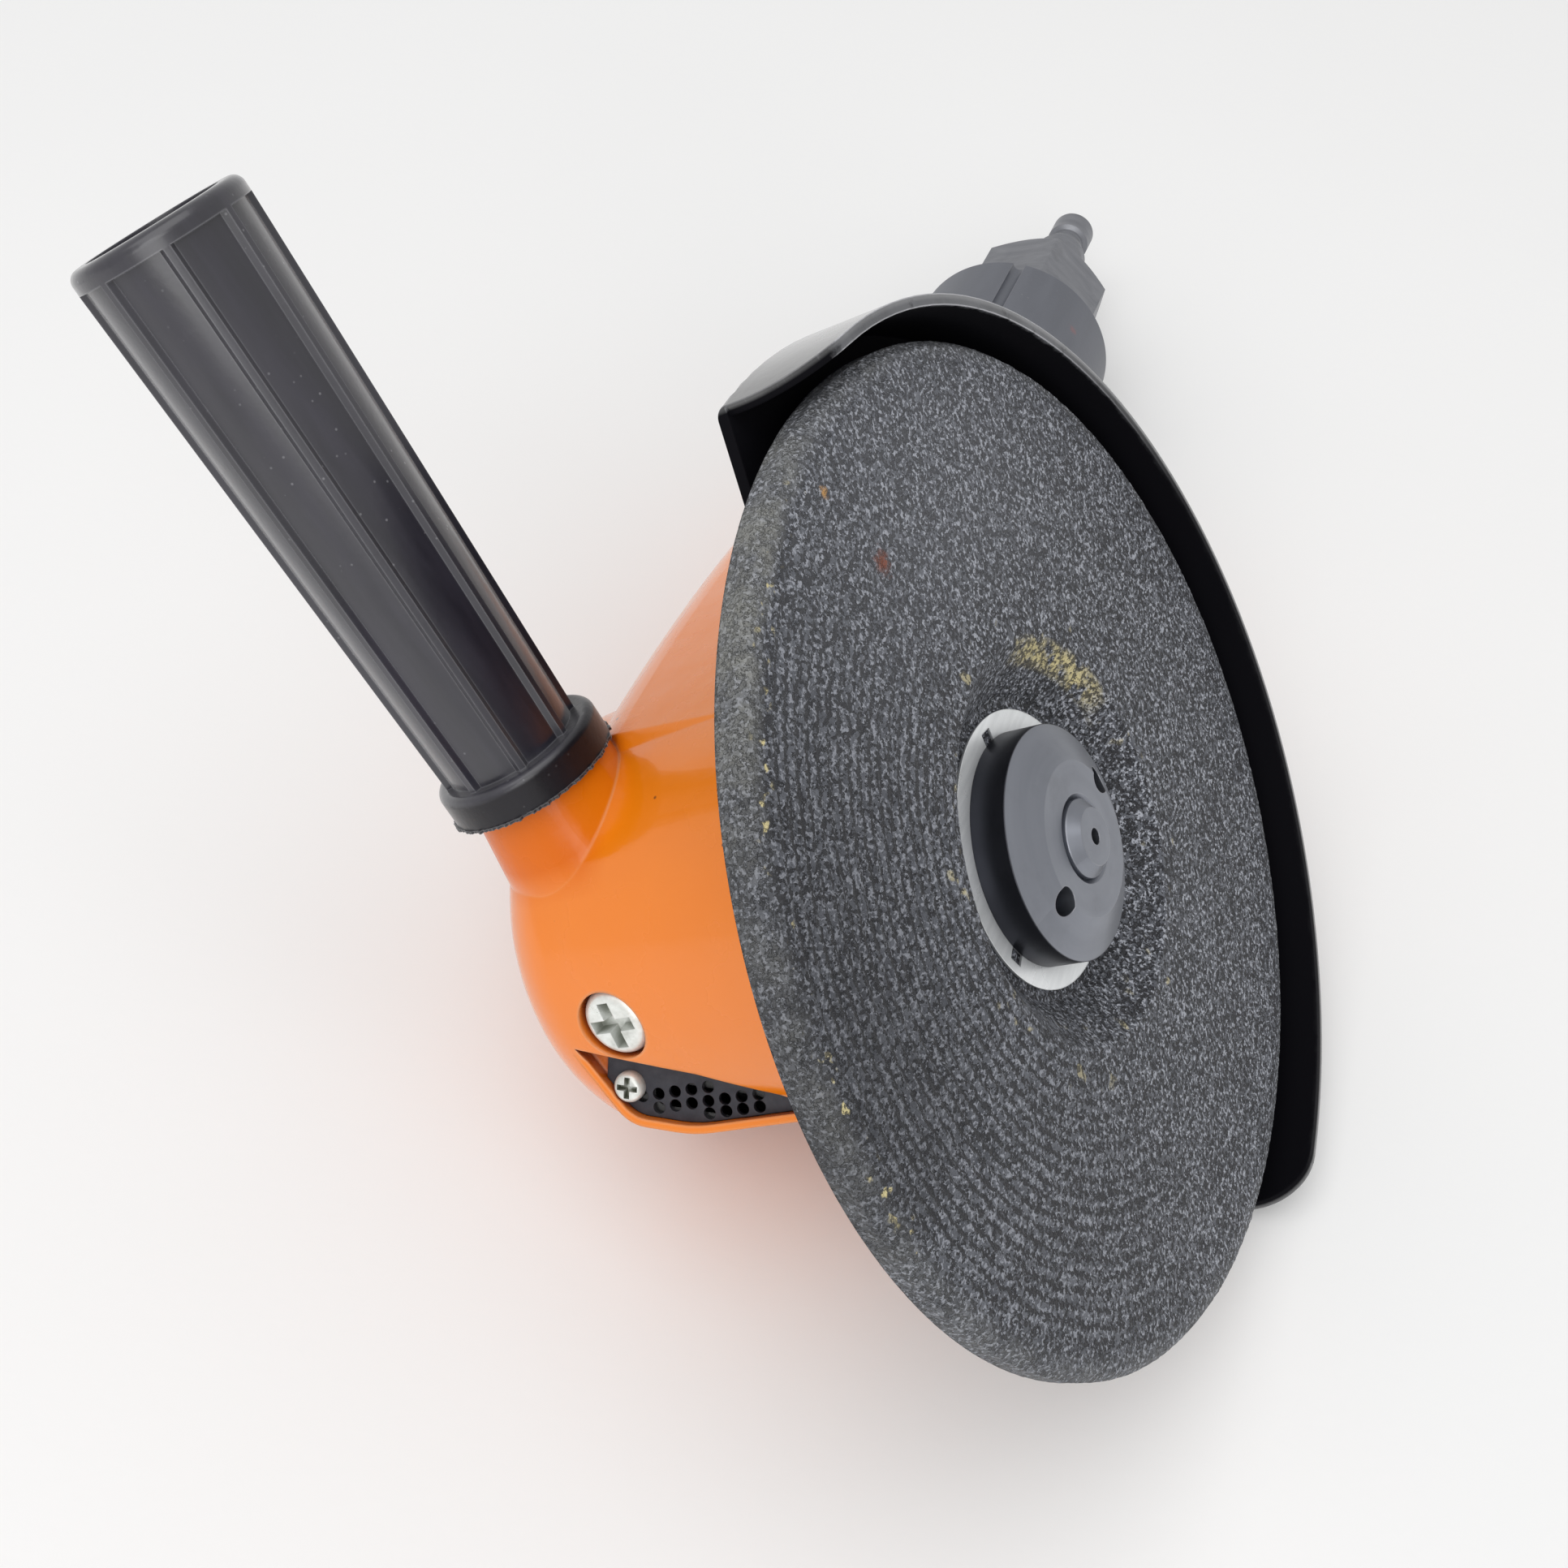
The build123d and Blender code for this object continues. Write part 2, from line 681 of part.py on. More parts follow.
cylinder_screw = pan_screw(
    screw_plane, big_screw_head_r, big_screw_head_long, big_screw_r, big_screw_long, big_screw_crown)
grille_screw = pan_screw(
    small_screw_plane, small_screw_head_r, small_screw_head_long, small_screw_r,
    small_screw_long, small_screw_crown)


# Housing: barrel, neck, tail, handle boss and hood in one casting
def neck_loft(sections, inset):
    """A stretch of the neck between the barrel and the tail, drawn in by an inset."""
    with BuildPart() as neck:
        for section_t, middle_z, half_wide, rear_high, front_high, corner_r, side_lean in sections:
            wide = half_wide - inset
            round_r = corner_r - inset
            shoulder = wide - side_lean
            flat_end = shoulder - round_r
            top = middle_z + front_high - inset
            low = top - round_r
            with BuildSketch(Plane.YZ.offset(section_t)):
                with BuildLine():
                    EllipticalCenterArc((0, middle_z), wide, rear_high - inset, 180, arc_size=180)
                    Line((wide, middle_z), (shoulder, low))
                    CenterArc((flat_end, low), round_r, 0, 90)
                    Line((flat_end, top), (-flat_end, top))
                    CenterArc((-flat_end, low), round_r, 90, 90)
                    Line((-shoulder, low), (-wide, middle_z))
                make_face()
        loft()
    return neck


neck_root = neck_loft(neck_sections[:2], 0)
neck = neck_loft(neck_sections[1:], 0)
label_floor = neck_loft(neck_sections[1:], label_deep)
neck_inside = neck_loft(neck_sections[1:], neck_wall)
with BuildPart() as neck_cavity:
    with BuildSketch(Plane.YZ.offset(cavity_start_t)):
        with Locations((0, tail_z)):
            Rectangle(2 * barrel_r, 2 * barrel_r)
    extrude(amount=cavity_end_t - cavity_start_t)
    add(neck_inside.part, mode=Mode.INTERSECT)

with BuildPart() as label_recess:
    with BuildSketch(Plane.XZ):
        with Locations((label_t, label_z)):
            RectangleRounded(label_long, label_high, label_round)
    extrude(amount=-barrel_r)
    add(label_floor.part, mode=Mode.SUBTRACT)

with BuildPart() as housing:
    with BuildSketch(Plane.XY.offset(barrel_rear_z)):
        Circle(barrel_r)
    extrude(amount=barrel_front_z - barrel_rear_z)
    fillet(housing.edges().group_by(Axis.Z)[0], barrel_round)
    add(neck_root.part)
    add(neck.part)
    with BuildSketch(Plane.YZ.offset(tail_loft_t)):
        with Locations((0, tail_z)):
            Circle(tail_r)
    extrude(amount=tail_end_t - tail_loft_t)
    with BuildSketch(handle_profile):
        with BuildLine():
            Polyline(
                (boss_root_w, 0), (boss_root_w, boss_root_r), (boss_end_w, boss_end_r),
                (boss_end_w, 0), close=True)
        make_face()
    revolve(axis=handle_axis)
    extrude(lip_outline, amount=hood_deep, dir=hood_run)
    with BuildSketch(Plane.XY.offset(bore_end_z)):
        Circle(bore_r)
    extrude(amount=barrel_front_z - bore_end_z, mode=Mode.SUBTRACT)
    with BuildSketch(Plane.XY.offset(bore_end_z - floor_relief)):
        Circle(floor_relief_r)
    extrude(amount=floor_relief, mode=Mode.SUBTRACT)
    with BuildSketch(Plane.YZ):
        with Locations((0, tail_z)):
            Circle(passage_r)
    extrude(amount=socket_floor_t, mode=Mode.SUBTRACT)
    with BuildSketch(Plane.YZ.offset(socket_floor_t)):
        with Locations((0, tail_z)):
            Circle(socket_r)
    extrude(amount=tail_end_t - socket_floor_t, mode=Mode.SUBTRACT)
    add(neck_cavity.part, mode=Mode.SUBTRACT)
    add(label_recess.part, mode=Mode.SUBTRACT)
    extrude(pocket_outline, amount=-grille_seat, mode=Mode.SUBTRACT)
    extrude(pocket_outline, amount=hood_deep, mode=Mode.SUBTRACT)
    with BuildSketch(mouth_plane.offset(-grille_sunk)):
        with Locations((mouth_port_x, mouth_port_y)):
            SlotOverall(mouth_port_long, mouth_port_wide)
    extrude(amount=-mouth_port_deep, mode=Mode.SUBTRACT)
    with BuildSketch(handle_cross.offset(boss_hole_floor_w)):
        Circle(boss_hole_r)
    extrude(amount=boss_end_w - boss_hole_floor_w, mode=Mode.SUBTRACT)
    with BuildSketch(screw_plane):
        Circle(big_screw_recess_r)
    extrude(amount=2 * big_screw_sunk, mode=Mode.SUBTRACT)
    with BuildSketch(screw_plane):
        Circle(big_screw_r + sleeve_clear)
    extrude(amount=-big_screw_sunk, mode=Mode.SUBTRACT)
    with BuildSketch(small_screw_plane):
        Circle(small_screw_head_r + sleeve_clear)
    extrude(amount=2 * grille_sunk, mode=Mode.SUBTRACT)
    with BuildSketch(small_screw_plane):
        Circle(small_screw_r + sleeve_clear)
    extrude(amount=-small_screw_long - sleeve_gap, mode=Mode.SUBTRACT)
    with BuildSketch(Plane.XY.offset(barrel_front_z)):
        with PolarLocations(cover_bolt_r, cover_bolt_count, start_angle=cover_bolt_start):
            Circle(cover_bolt_shank_r + sleeve_clear)
    extrude(amount=cover_bolt_end_z - barrel_front_z - sleeve_gap, mode=Mode.SUBTRACT)

# Twist throttle on the tail
with BuildPart() as valve_body:
    with BuildSketch(tail_plane):
        with BuildLine():
            Polyline(
                (socket_floor_t, valve_bore_r), (socket_floor_t, socket_r), (tail_end_t, socket_r),
                (tail_end_t, valve_journal_r), (valve_shoulder_t, valve_journal_r),
                (valve_shoulder_t, valve_thread_r), (valve_end_t, valve_thread_r),
                (valve_end_t, valve_bore_r), close=True)
        make_face()
    revolve(axis=tail_axis)
    with BuildSketch(tail_cross.offset(valve_wall_t)):
        Circle(valve_bore_r + sleeve_clear)
        with PolarLocations(valve_port_pcd_r, 2, start_angle=valve_open_angle):
            Circle(valve_port_r, mode=Mode.SUBTRACT)
    extrude(amount=valve_wall_thick)
    with BuildSketch(tail_plane):
        with Locations((pin_t, (valve_bore_r + valve_journal_r) / 2)):
            Rectangle(pin_window_wide, 2 * (valve_journal_r - valve_bore_r))
    revolve(axis=tail_axis, revolution_arc=pin_window_angle, mode=Mode.SUBTRACT)

with BuildPart() as throttle_spool:
    with BuildSketch(tail_cross.offset(spool_start_t)):
        Circle(valve_bore_r - spool_clear)
    extrude(amount=spool_end_t - spool_start_t)
    with BuildSketch(tail_cross.offset(spool_start_t + spool_wall)):
        Circle(spool_bore_r)
    extrude(amount=spool_end_t - spool_start_t - spool_wall, mode=Mode.SUBTRACT)
    with BuildSketch(tail_cross.offset(spool_start_t)):
        with PolarLocations(valve_port_pcd_r, 2):
            Circle(valve_port_r)
    extrude(amount=spool_wall, mode=Mode.SUBTRACT)
    with BuildSketch(tail_plane):
        for ring_t in seal_ring_t:
            with Locations((ring_t, (seal_groove_r + valve_bore_r) / 2)):
                Rectangle(seal_groove_wide, valve_bore_r - seal_groove_r)
    revolve(axis=tail_axis, mode=Mode.SUBTRACT)
    with BuildSketch(pin_plane):
        Circle(pin_r + sleeve_clear)
    extrude(amount=valve_bore_r, mode=Mode.SUBTRACT)

with BuildPart() as spool_rings:
    with BuildSketch(tail_plane):
        for ring_t in seal_ring_t:
            with Locations((ring_t, seal_groove_r + seal_ring_r)):
                Circle(seal_ring_r)
    revolve(axis=tail_axis)

sleeve_start_t = tail_end_t + sleeve_gap
sleeve_end_t = valve_shoulder_t - sleeve_gap
with BuildPart() as throttle_sleeve:
    with BuildSketch(tail_cross.offset(sleeve_start_t)):
        Circle(sleeve_r)
        with PolarLocations(sleeve_r, groove_count, start_angle=groove_angle):
            Circle(groove_r, mode=Mode.SUBTRACT)
    extrude(amount=sleeve_end_t - sleeve_start_t)
    with BuildSketch(tail_cross.offset(sleeve_start_t)):
        Circle(valve_journal_r + sleeve_clear)
    extrude(amount=sleeve_end_t - sleeve_start_t, mode=Mode.SUBTRACT)
    with BuildSketch(pin_plane):
        Circle(pin_r + sleeve_clear)
    extrude(amount=pin_top_r + sleeve_gap, mode=Mode.SUBTRACT)

with BuildPart() as sleeve_pin:
    with BuildSketch(pin_plane.offset(pin_foot_r)):
        Circle(pin_r)
    extrude(amount=pin_top_r - pin_foot_r)

with BuildPart() as inlet_bushing:
    with BuildSketch(tail_cross.offset(valve_shoulder_t)):
        RegularPolygon(hex_flats / 2, 6, major_radius=False, rotation=hex_turn)
    extrude(amount=hex_end_t - valve_shoulder_t)
    with BuildSketch(tail_plane):
        with BuildLine():
            Polyline(
                (valve_shoulder_t, 0), (valve_shoulder_t, hex_flats / 2),
                (valve_shoulder_t + hex_lead, hex_corner_r), (hex_end_t - hex_lead, hex_corner_r),
                (hex_end_t, hex_flats / 2), (hex_end_t, 0), close=True)
        make_face()
    revolve(axis=tail_axis, mode=Mode.INTERSECT)
    with BuildSketch(tail_cross.offset(valve_shoulder_t)):
        Circle(valve_thread_r + sleeve_clear)
    extrude(amount=thread_bore_end_t - valve_shoulder_t, mode=Mode.SUBTRACT)
    with BuildSketch(tail_cross.offset(thread_bore_end_t)):
        Circle(valve_bore_r)
    extrude(amount=nipple_seat_t - thread_bore_end_t, mode=Mode.SUBTRACT)
    with BuildSketch(tail_cross.offset(nipple_seat_t)):
        Circle(nipple_thread_r + sleeve_clear)
    extrude(amount=hex_end_t - nipple_seat_t, mode=Mode.SUBTRACT)

with BuildPart() as inlet_strainer:
    with BuildSketch(tail_cross.offset(valve_end_t)):
        Circle(strainer_r)
        with HexLocations(strainer_pitch, strainer_rows, strainer_rows):
            Circle(strainer_hole_r, mode=Mode.SUBTRACT)
    extrude(amount=strainer_thick)

air_nipple = turned([
    (nipple_seat_t, nipple_bore_r), (nipple_seat_t, nipple_thread_r), (hex_end_t, nipple_thread_r),
    (hex_end_t, nipple_collar_r), (nipple_collar_t, nipple_collar_r), (nipple_neck_t, nipple_neck_r),
    (nipple_nose_t, nipple_neck_r), (nipple_nose_t + nipple_lead, nipple_r),
    (nipple_tip_t - nipple_tip_lead, nipple_r), (nipple_tip_t, nipple_r - nipple_tip_lead),
    (nipple_tip_t, nipple_bore_r),
], tail_plane, tail_axis)

# Side handle
grip_loft_end_w = grip_end_w - grip_rim_long


def fluted(radius):
    """The outline of the grip: wide shallow flutes between thin ridges."""
    turn = 2 * pi / grip_sides
    ridge = ridge_wide / 2 / radius
    foot = ridge + ridge_slope / radius
    floor_r = radius - flute_deep
    for side in range(grip_sides):
        start = turn * side
        tops = (start - ridge, start, start + ridge, start + turn - ridge)
        feet = (start + foot, start + turn / 2, start + turn - foot)
        ridge_top = [(radius * cos(a), radius * sin(a)) for a in tops]
        floor = [(floor_r * cos(a), floor_r * sin(a)) for a in feet]
        ThreePointArc(*ridge_top[:3])
        Line(ridge_top[2], floor[0])
        ThreePointArc(*floor)
        Line(floor[2], ridge_top[3])


with BuildPart() as side_grip:
    with BuildSketch(collar_cross.offset(grip_start_w)):
        Circle(collar_r)
    extrude(amount=collar_long)
    fillet(side_grip.faces().sort_by(handle_axis)[-1].edges(), collar_round)
    for section_w, section_r in ((grip_start_w, grip_base_r), (grip_loft_end_w, grip_end_r)):
        with BuildSketch(grip_cross.offset(section_w)):
            with BuildLine():
                fluted(section_r)
            make_face()
    loft()
    with BuildSketch(grip_cross.offset(grip_loft_end_w)):
        Circle(grip_end_r)
    extrude(amount=grip_rim_long)
    fillet(side_grip.faces().sort_by(handle_axis)[-1].edges(), grip_rim_round)
    with BuildSketch(grip_cross.offset(grip_end_w)):
        Circle(grip_cup_r)
    extrude(amount=-grip_cup_deep, mode=Mode.SUBTRACT)
    with BuildSketch(handle_cross.offset(grip_start_w)):
        Circle(stud_r + sleeve_clear)
    extrude(amount=stud_end_w - grip_start_w, mode=Mode.SUBTRACT)

with BuildPart() as handle_stud:
    with BuildSketch(handle_cross.offset(boss_hole_floor_w)):
        Circle(stud_r)
    extrude(amount=stud_end_w - boss_hole_floor_w)

pieces = {
    "housing": housing.part,
    "front_cover": front_cover.part,
    "cover_screws": cover_screws.part,
    "shaft_seal": shaft_seal.part,
    "lower_bearing_outer_ring": lower_bearing[0],
    "lower_bearing_inner_ring": lower_bearing[1],
    "lower_bearing_balls": lower_bearing[2],
    "upper_bearing_outer_ring": upper_bearing[0],
    "upper_bearing_inner_ring": upper_bearing[1],
    "upper_bearing_balls": upper_bearing[2],
    "motor_cylinder": motor_cylinder.part,
    "lower_end_plate": lower_end_plate.part,
    "upper_end_plate": upper_end_plate.part,
    "rotor": rotor.part,
    "rotor_vanes": rotor_vanes.part,
    "rotor_key": rotor_key.part,
    "spindle": spindle.part,
    "inner_flange": inner_flange.part,
    "grinding_wheel": grinding_wheel.part,
    "wheel_ring": wheel_ring.part,
    "lock_nut": lock_nut.part,
    "guard": guard.part,
    "guard_band": guard_band.part,
    "guard_clamp_screw": guard_clamp_screw.part,
    "guard_clamp_nut": guard_clamp_nut.part,
    "exhaust_grille": exhaust_grille.part,
    "grille_screw": grille_screw.part,
    "cylinder_screw": cylinder_screw.part,
    "valve_body": valve_body.part,
    "throttle_sleeve": throttle_sleeve.part,
    "throttle_spool": throttle_spool.part,
    "spool_rings": spool_rings.part,
    "sleeve_pin": sleeve_pin.part,
    "inlet_bushing": inlet_bushing.part,
    "inlet_strainer": inlet_strainer.part,
    "air_nipple": air_nipple.part,
    "side_grip": side_grip.part,
    "handle_stud": handle_stud.part,
}

os.makedirs("parts", exist_ok=True)
lying = Pos(*lying_shift) * Rot(0, lying_pitch, 0) * Rot(lying_roll, 0, 0)
for name, piece in pieces.items():
    laid = piece.moved(lying)
    laid.label = name
    export_step(laid, f"parts/{name}.step")
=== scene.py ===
import json
import math
import bpy
from mathutils import Matrix, Vector, noise


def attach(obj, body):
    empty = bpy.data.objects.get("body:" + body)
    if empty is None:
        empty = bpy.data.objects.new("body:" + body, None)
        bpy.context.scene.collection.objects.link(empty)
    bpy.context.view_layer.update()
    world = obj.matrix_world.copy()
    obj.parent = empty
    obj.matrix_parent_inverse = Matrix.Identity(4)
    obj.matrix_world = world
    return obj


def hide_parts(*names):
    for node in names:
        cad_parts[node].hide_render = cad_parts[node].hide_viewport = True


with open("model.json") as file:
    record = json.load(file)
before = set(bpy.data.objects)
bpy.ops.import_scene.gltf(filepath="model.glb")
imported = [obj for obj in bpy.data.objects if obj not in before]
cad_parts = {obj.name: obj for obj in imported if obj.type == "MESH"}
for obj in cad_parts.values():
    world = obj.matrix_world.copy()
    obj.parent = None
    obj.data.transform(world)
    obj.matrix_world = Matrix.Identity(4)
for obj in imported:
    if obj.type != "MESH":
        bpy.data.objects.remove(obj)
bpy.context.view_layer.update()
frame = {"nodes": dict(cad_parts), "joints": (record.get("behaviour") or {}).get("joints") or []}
nodes = frame["nodes"]
scene = bpy.context.scene
mm = 0.001
print("frame loaded with", len(nodes), "nodes")

# the tool's own frame, read from its joints
originAhead = 20   # mm from the spindle joint's point to the origin
tailBack = 76.5 * mm   # the tail's axis lies this far behind the origin
joints = {joint["name"]: joint for joint in frame["joints"]}
spindleDir = Vector(joints["spindle_spin"]["axis"]).normalized()   # out of the wheel
tailDir = Vector(joints["throttle_twist"]["axis"]).normalized()   # out along the tail
handleDir = spindleDir.cross(tailDir).normalized()
toolOrigin = Vector(joints["spindle_spin"]["pos_m"]) + spindleDir * originAhead * mm
toolTurn = Matrix((tailDir, handleDir, spindleDir)).transposed()
toolFrame = Matrix.Translation(toolOrigin) @ toolTurn.to_4x4()


def metres(point):
    return tuple(mm * part for part in point)


# node helpers
noiseMiddle = (0.35, 0.65)   # where most of a noise lies
noiseWide = (0.3, 0.7)
edgeFacing = (0.99, 0.88)   # cosines where an edge's mask starts and is full
blot = {"grain": 900.0, "ragged": 1.2, "start": 1.35, "full": 0.8}


def addNode(tree, kind, inputs=None, **settings):
    node = tree.nodes.new("ShaderNode" + kind)
    for key, value in settings.items():
        setattr(node, key, value)
    for key, value in (inputs or {}).items():
        if isinstance(value, bpy.types.NodeSocket):
            tree.links.new(value, node.inputs[key])
        else:
            node.inputs[key].default_value = value
    return node


def calc(tree, operation, first, second=0.0):
    return addNode(tree, "Math", {0: first, 1: second}, operation=operation).outputs[0]


def times(tree, first, second):
    return calc(tree, "MULTIPLY", first, second)


def vectorCalc(tree, operation, first, second, output="Vector"):
    node = addNode(tree, "VectorMath", {0: first, 1: second}, operation=operation)
    return node.outputs[output]


def dotOf(tree, first, second):
    return vectorCalc(tree, "DOT_PRODUCT", first, second, "Value")


def spread(tree, value, low, high, newLow=0.0, newHigh=1.0):
    inputs = {"Value": value, "From Min": low, "From Max": high,
              "To Min": newLow, "To Max": newHigh}
    return addNode(tree, "MapRange", inputs).outputs["Result"]


def between(tree, mask, atNone, atFull):
    return spread(tree, mask, 0.0, 1.0, atNone, atFull)


def noiseOf(tree, vector, scale, detail=2.0, rough=0.5):
    inputs = {"Vector": vector, "Scale": scale, "Detail": detail, "Roughness": rough}
    return addNode(tree, "TexNoise", inputs).outputs["Fac"]


def patches(tree, vector, patch):   # islands of a noise, as a mask
    field = noiseOf(tree, vector, patch["scale"], patch.get("detail", 2.0))
    return spread(tree, field, patch["start"], patch["full"])


def cellsOf(tree, vector, scale):
    return addNode(tree, "TexVoronoi", {"Vector": vector, "Scale": scale}).outputs["Distance"]


def mixTone(tree, factor, first, second):
    node = addNode(tree, "Mix", data_type="RGBA")
    for index, value in ((0, factor), (6, first), (7, second)):
        if isinstance(value, bpy.types.NodeSocket):
            tree.links.new(value, node.inputs[index])
        elif index == 0:
            node.inputs[index].default_value = value
        else:
            node.inputs[index].default_value = (*value, 1.0)
    return node.outputs[2]


def tint(tree, mask, share, tone, other):   # a share of another tone under a mask
    return mixTone(tree, times(tree, mask, share), tone, other)


def bumpOf(tree, height, distance, normal=None):
    inputs = {"Height": height, "Distance": distance, "Strength": 1.0}
    if normal is not None:
        inputs["Normal"] = normal
    return addNode(tree, "Bump", inputs).outputs["Normal"]


def softEdges(tree, radius):   # rounded normal, and a mask along the edges
    rounded = addNode(tree, "Bevel", {"Radius": radius}, samples=6).outputs["Normal"]
    plain = addNode(tree, "NewGeometry").outputs["Normal"]
    return rounded, spread(tree, dotOf(tree, rounded, plain), *edgeFacing)


def hollows(tree, reach, start=0.75, full=0.35, alone=True):   # near 1 in recesses
    node = addNode(tree, "AmbientOcclusion", {"Distance": reach}, samples=8, only_local=alone)
    return spread(tree, node.outputs["AO"], start, full)


def spot(tree, place, mark):   # ragged blot round a point
    size = mark["size"] * mm
    away = vectorCalc(tree, "DISTANCE", place, metres(mark["at"]), "Value")
    ragged = times(tree, noiseOf(tree, place, blot["grain"]), blot["ragged"] * size)
    away = calc(tree, "ADD", away, ragged)
    return spread(tree, away, blot["start"] * size, blot["full"] * size)


def band(tree, value, low, high, soft):   # 1 between two limits
    rise = spread(tree, value, low - soft, low + soft)
    return times(tree, rise, spread(tree, value, high + soft, high - soft))


def inside(tree, place, box):   # near 1 within a slanted box
    moved = vectorCalc(tree, "SUBTRACT", place, metres(box["origin"]))
    share = 1.0
    for way, low, high in box["sides"]:
        along = dotOf(tree, moved, way)
        share = times(tree, share, band(tree, along, low * mm, high * mm, box["soft"] * mm))
    return share


def startMaterial(name, plain=False):
    material = bpy.data.materials.new(name)
    material.use_nodes = True
    tree = material.node_tree
    shader = tree.nodes["Principled BSDF"]
    place = addNode(tree, "TexCoord").outputs["Object"]
    if not plain:   # measured in the tool's own frame
        moved = vectorCalc(tree, "SUBTRACT", place, tuple(toolOrigin))
        ways = (("X", tailDir), ("Y", handleDir), ("Z", spindleDir))
        parts = {axis: dotOf(tree, moved, tuple(way)) for axis, way in ways}
        place = addNode(tree, "CombineXYZ", parts).outputs["Vector"]
    return material, tree, shader, place


def apart(tree, vector):
    node = addNode(tree, "SeparateXYZ", {0: vector})
    return node.outputs["X"], node.outputs["Y"], node.outputs["Z"]


def roundAxis(tree, place, axis):   # radius, distance along the axis, angle
    x, y, z = apart(tree, place)
    if axis == "tail":
        along, first, second = x, y, calc(tree, "ADD", z, tailBack)
    else:
        along, first, second = z, x, y
    square = calc(tree, "ADD", times(tree, first, first), times(tree, second, second))
    return calc(tree, "SQRT", square), along, calc(tree, "ARCTAN2", second, first)


def connect(tree, shader, **sockets):
    for name, value in sockets.items():
        socket = shader.inputs[name.replace("_", " ")]
        if isinstance(value, bpy.types.NodeSocket):
            tree.links.new(value, socket)
        else:
            socket.default_value = value


def dress(material, *names):
    for name in names:
        nodes[name].data.materials.clear()
        nodes[name].data.materials.append(material)


def addPiece(name, points, faces, smooth=False):
    mesh = bpy.data.meshes.new(name)
    mesh.from_pydata(points, [], faces)
    mesh.update()
    for face in mesh.polygons:
        face.use_smooth = smooth
    piece = bpy.data.objects.new(name, mesh)
    scene.collection.objects.link(piece)
    return piece


# orange enamel on the casting
def paintMaterial(spec):
    material, tree, shader, place = startMaterial(spec["name"])
    broad = noiseOf(tree, place, spec["broad"], 3.0)
    tone = mixTone(tree, spread(tree, broad, *noiseMiddle), spec["tone"], spec["deep"])
    dirt = spread(tree, cellsOf(tree, place, spec["speck"]), *spec["speckSize"])
    dirt = times(tree, dirt, patches(tree, place, spec["dirtPatch"]))
    tone = mixTone(tree, dirt, tone, spec["dirt"])
    rounded, edges = softEdges(tree, spec["crease"])
    # painted highlight: a lighter orange along the creases and edges
    tone = tint(tree, edges, spec["edgeShare"], tone, spec["edge"])
    # painted shade: the boss under the handle is darkened, with less coat and shine
    boss = inside(tree, place, spec["boss"])
    tone = tint(tree, boss, spec["bossShadeShare"], tone, spec["bossShadeTone"])
    # painted shade darkens the corners and creases near other pieces
    tone = mixTone(tree, hollows(tree, **spec["cornerShade"]), tone, spec["creviceShade"])
    # painted shade: the pocket behind the grille is coloured near black
    tone = mixTone(tree, inside(tree, place, spec["pocket"]), tone, spec["pocketShade"])
    normal = bumpOf(tree, noiseOf(tree, place, spec["waveScale"]), spec["wave"], rounded)
    normal = bumpOf(tree, noiseOf(tree, place, spec["peelScale"]), spec["peel"], normal)
    dull = noiseOf(tree, place, spec["dull"], 4.0, 0.6)
    rough = spread(tree, dull, *noiseWide, *spec["rough"])
    connect(tree, shader, Base_Color=tone, Roughness=rough, Normal=normal,
            Coat_Weight=between(tree, boss, *spec["coat"]), Coat_Roughness=spec["coatRough"],
            Specular_IOR_Level=between(tree, boss, *spec["shine"]))
    return material


enamel = {
    "name": "orangeEnamel", "tone": (0.85, 0.225, 0.005), "deep": (0.81, 0.2, 0.004),
    # edge is the colour of the painted highlight along the creases
    "edge": (0.9, 0.4, 0.16), "edgeShare": 0.5, "crease": 0.0011, "broad": 16.0,
    "dirt": (0.09, 0.03, 0.012), "speck": 210.0, "speckSize": (0.1, 0.06),
    "dirtPatch": {"scale": 60.0, "start": 0.56, "full": 0.62},
    "waveScale": 60.0, "wave": 0.0006, "peelScale": 520.0, "peel": 0.00005,
    "creviceShade": (0.3, 0.05, 0.004),
    "cornerShade": {"reach": 0.006, "start": 0.5, "full": 0.25, "alone": False},
    "boss": {"origin": (-14.4, 34.0, -82.0), "soft": 3.0, "sides": (   # painted shade under the handle
        ((0, 1, 0), 0.0, 30.0), ((1, 0, 0), -18.0, 16.0), ((0, 0, 1), -19.0, 12.0))},
    "bossShadeTone": (0.66, 0.125, 0.002), "bossShadeShare": 0.8,
    "pocket": {"origin": (-42.9, 2.2, -81.6), "soft": 0.25, "sides": (   # behind the grille, painted near black as shade
        ((-0.833, 0.49, 0.257), -30.0, -2.4), ((0.047, -0.401, 0.915), 0.6, 33.0),
        ((0.551, 0.774, 0.311), -8.2, 2.2))},
    "pocketShade": (0.004, 0.0035, 0.0035),
    "dull": 45.0, "rough": (0.2, 0.32), "coatRough": 0.06,
    "coat": (0.7, 0.1), "shine": (0.5, 0.25),   # elsewhere, and on the boss
}
dress(paintMaterial(enamel), "housing")
print("enamel done")

# moulded black plastic of the handle, and the other mouldings
handling = {   # marks that all mouldings share
    "dustSize": (0.12, 0.05), "dustPatch": {"scale": 45.0, "start": 0.5, "full": 0.6},
    "scratchTurn": (0.5, 0.3, 0.6), "scratchStretch": (1.0, 0.05, 1.0),
    "scratch": {"scale": 820.0, "start": 0.7, "full": 0.76},
    "scratchPatch": {"scale": 70.0, "start": 0.56, "full": 0.64},
    "crease": 0.0005, "coatRough": 0.22, "coatIndex": 1.6, "sheenRough": 0.35,
}


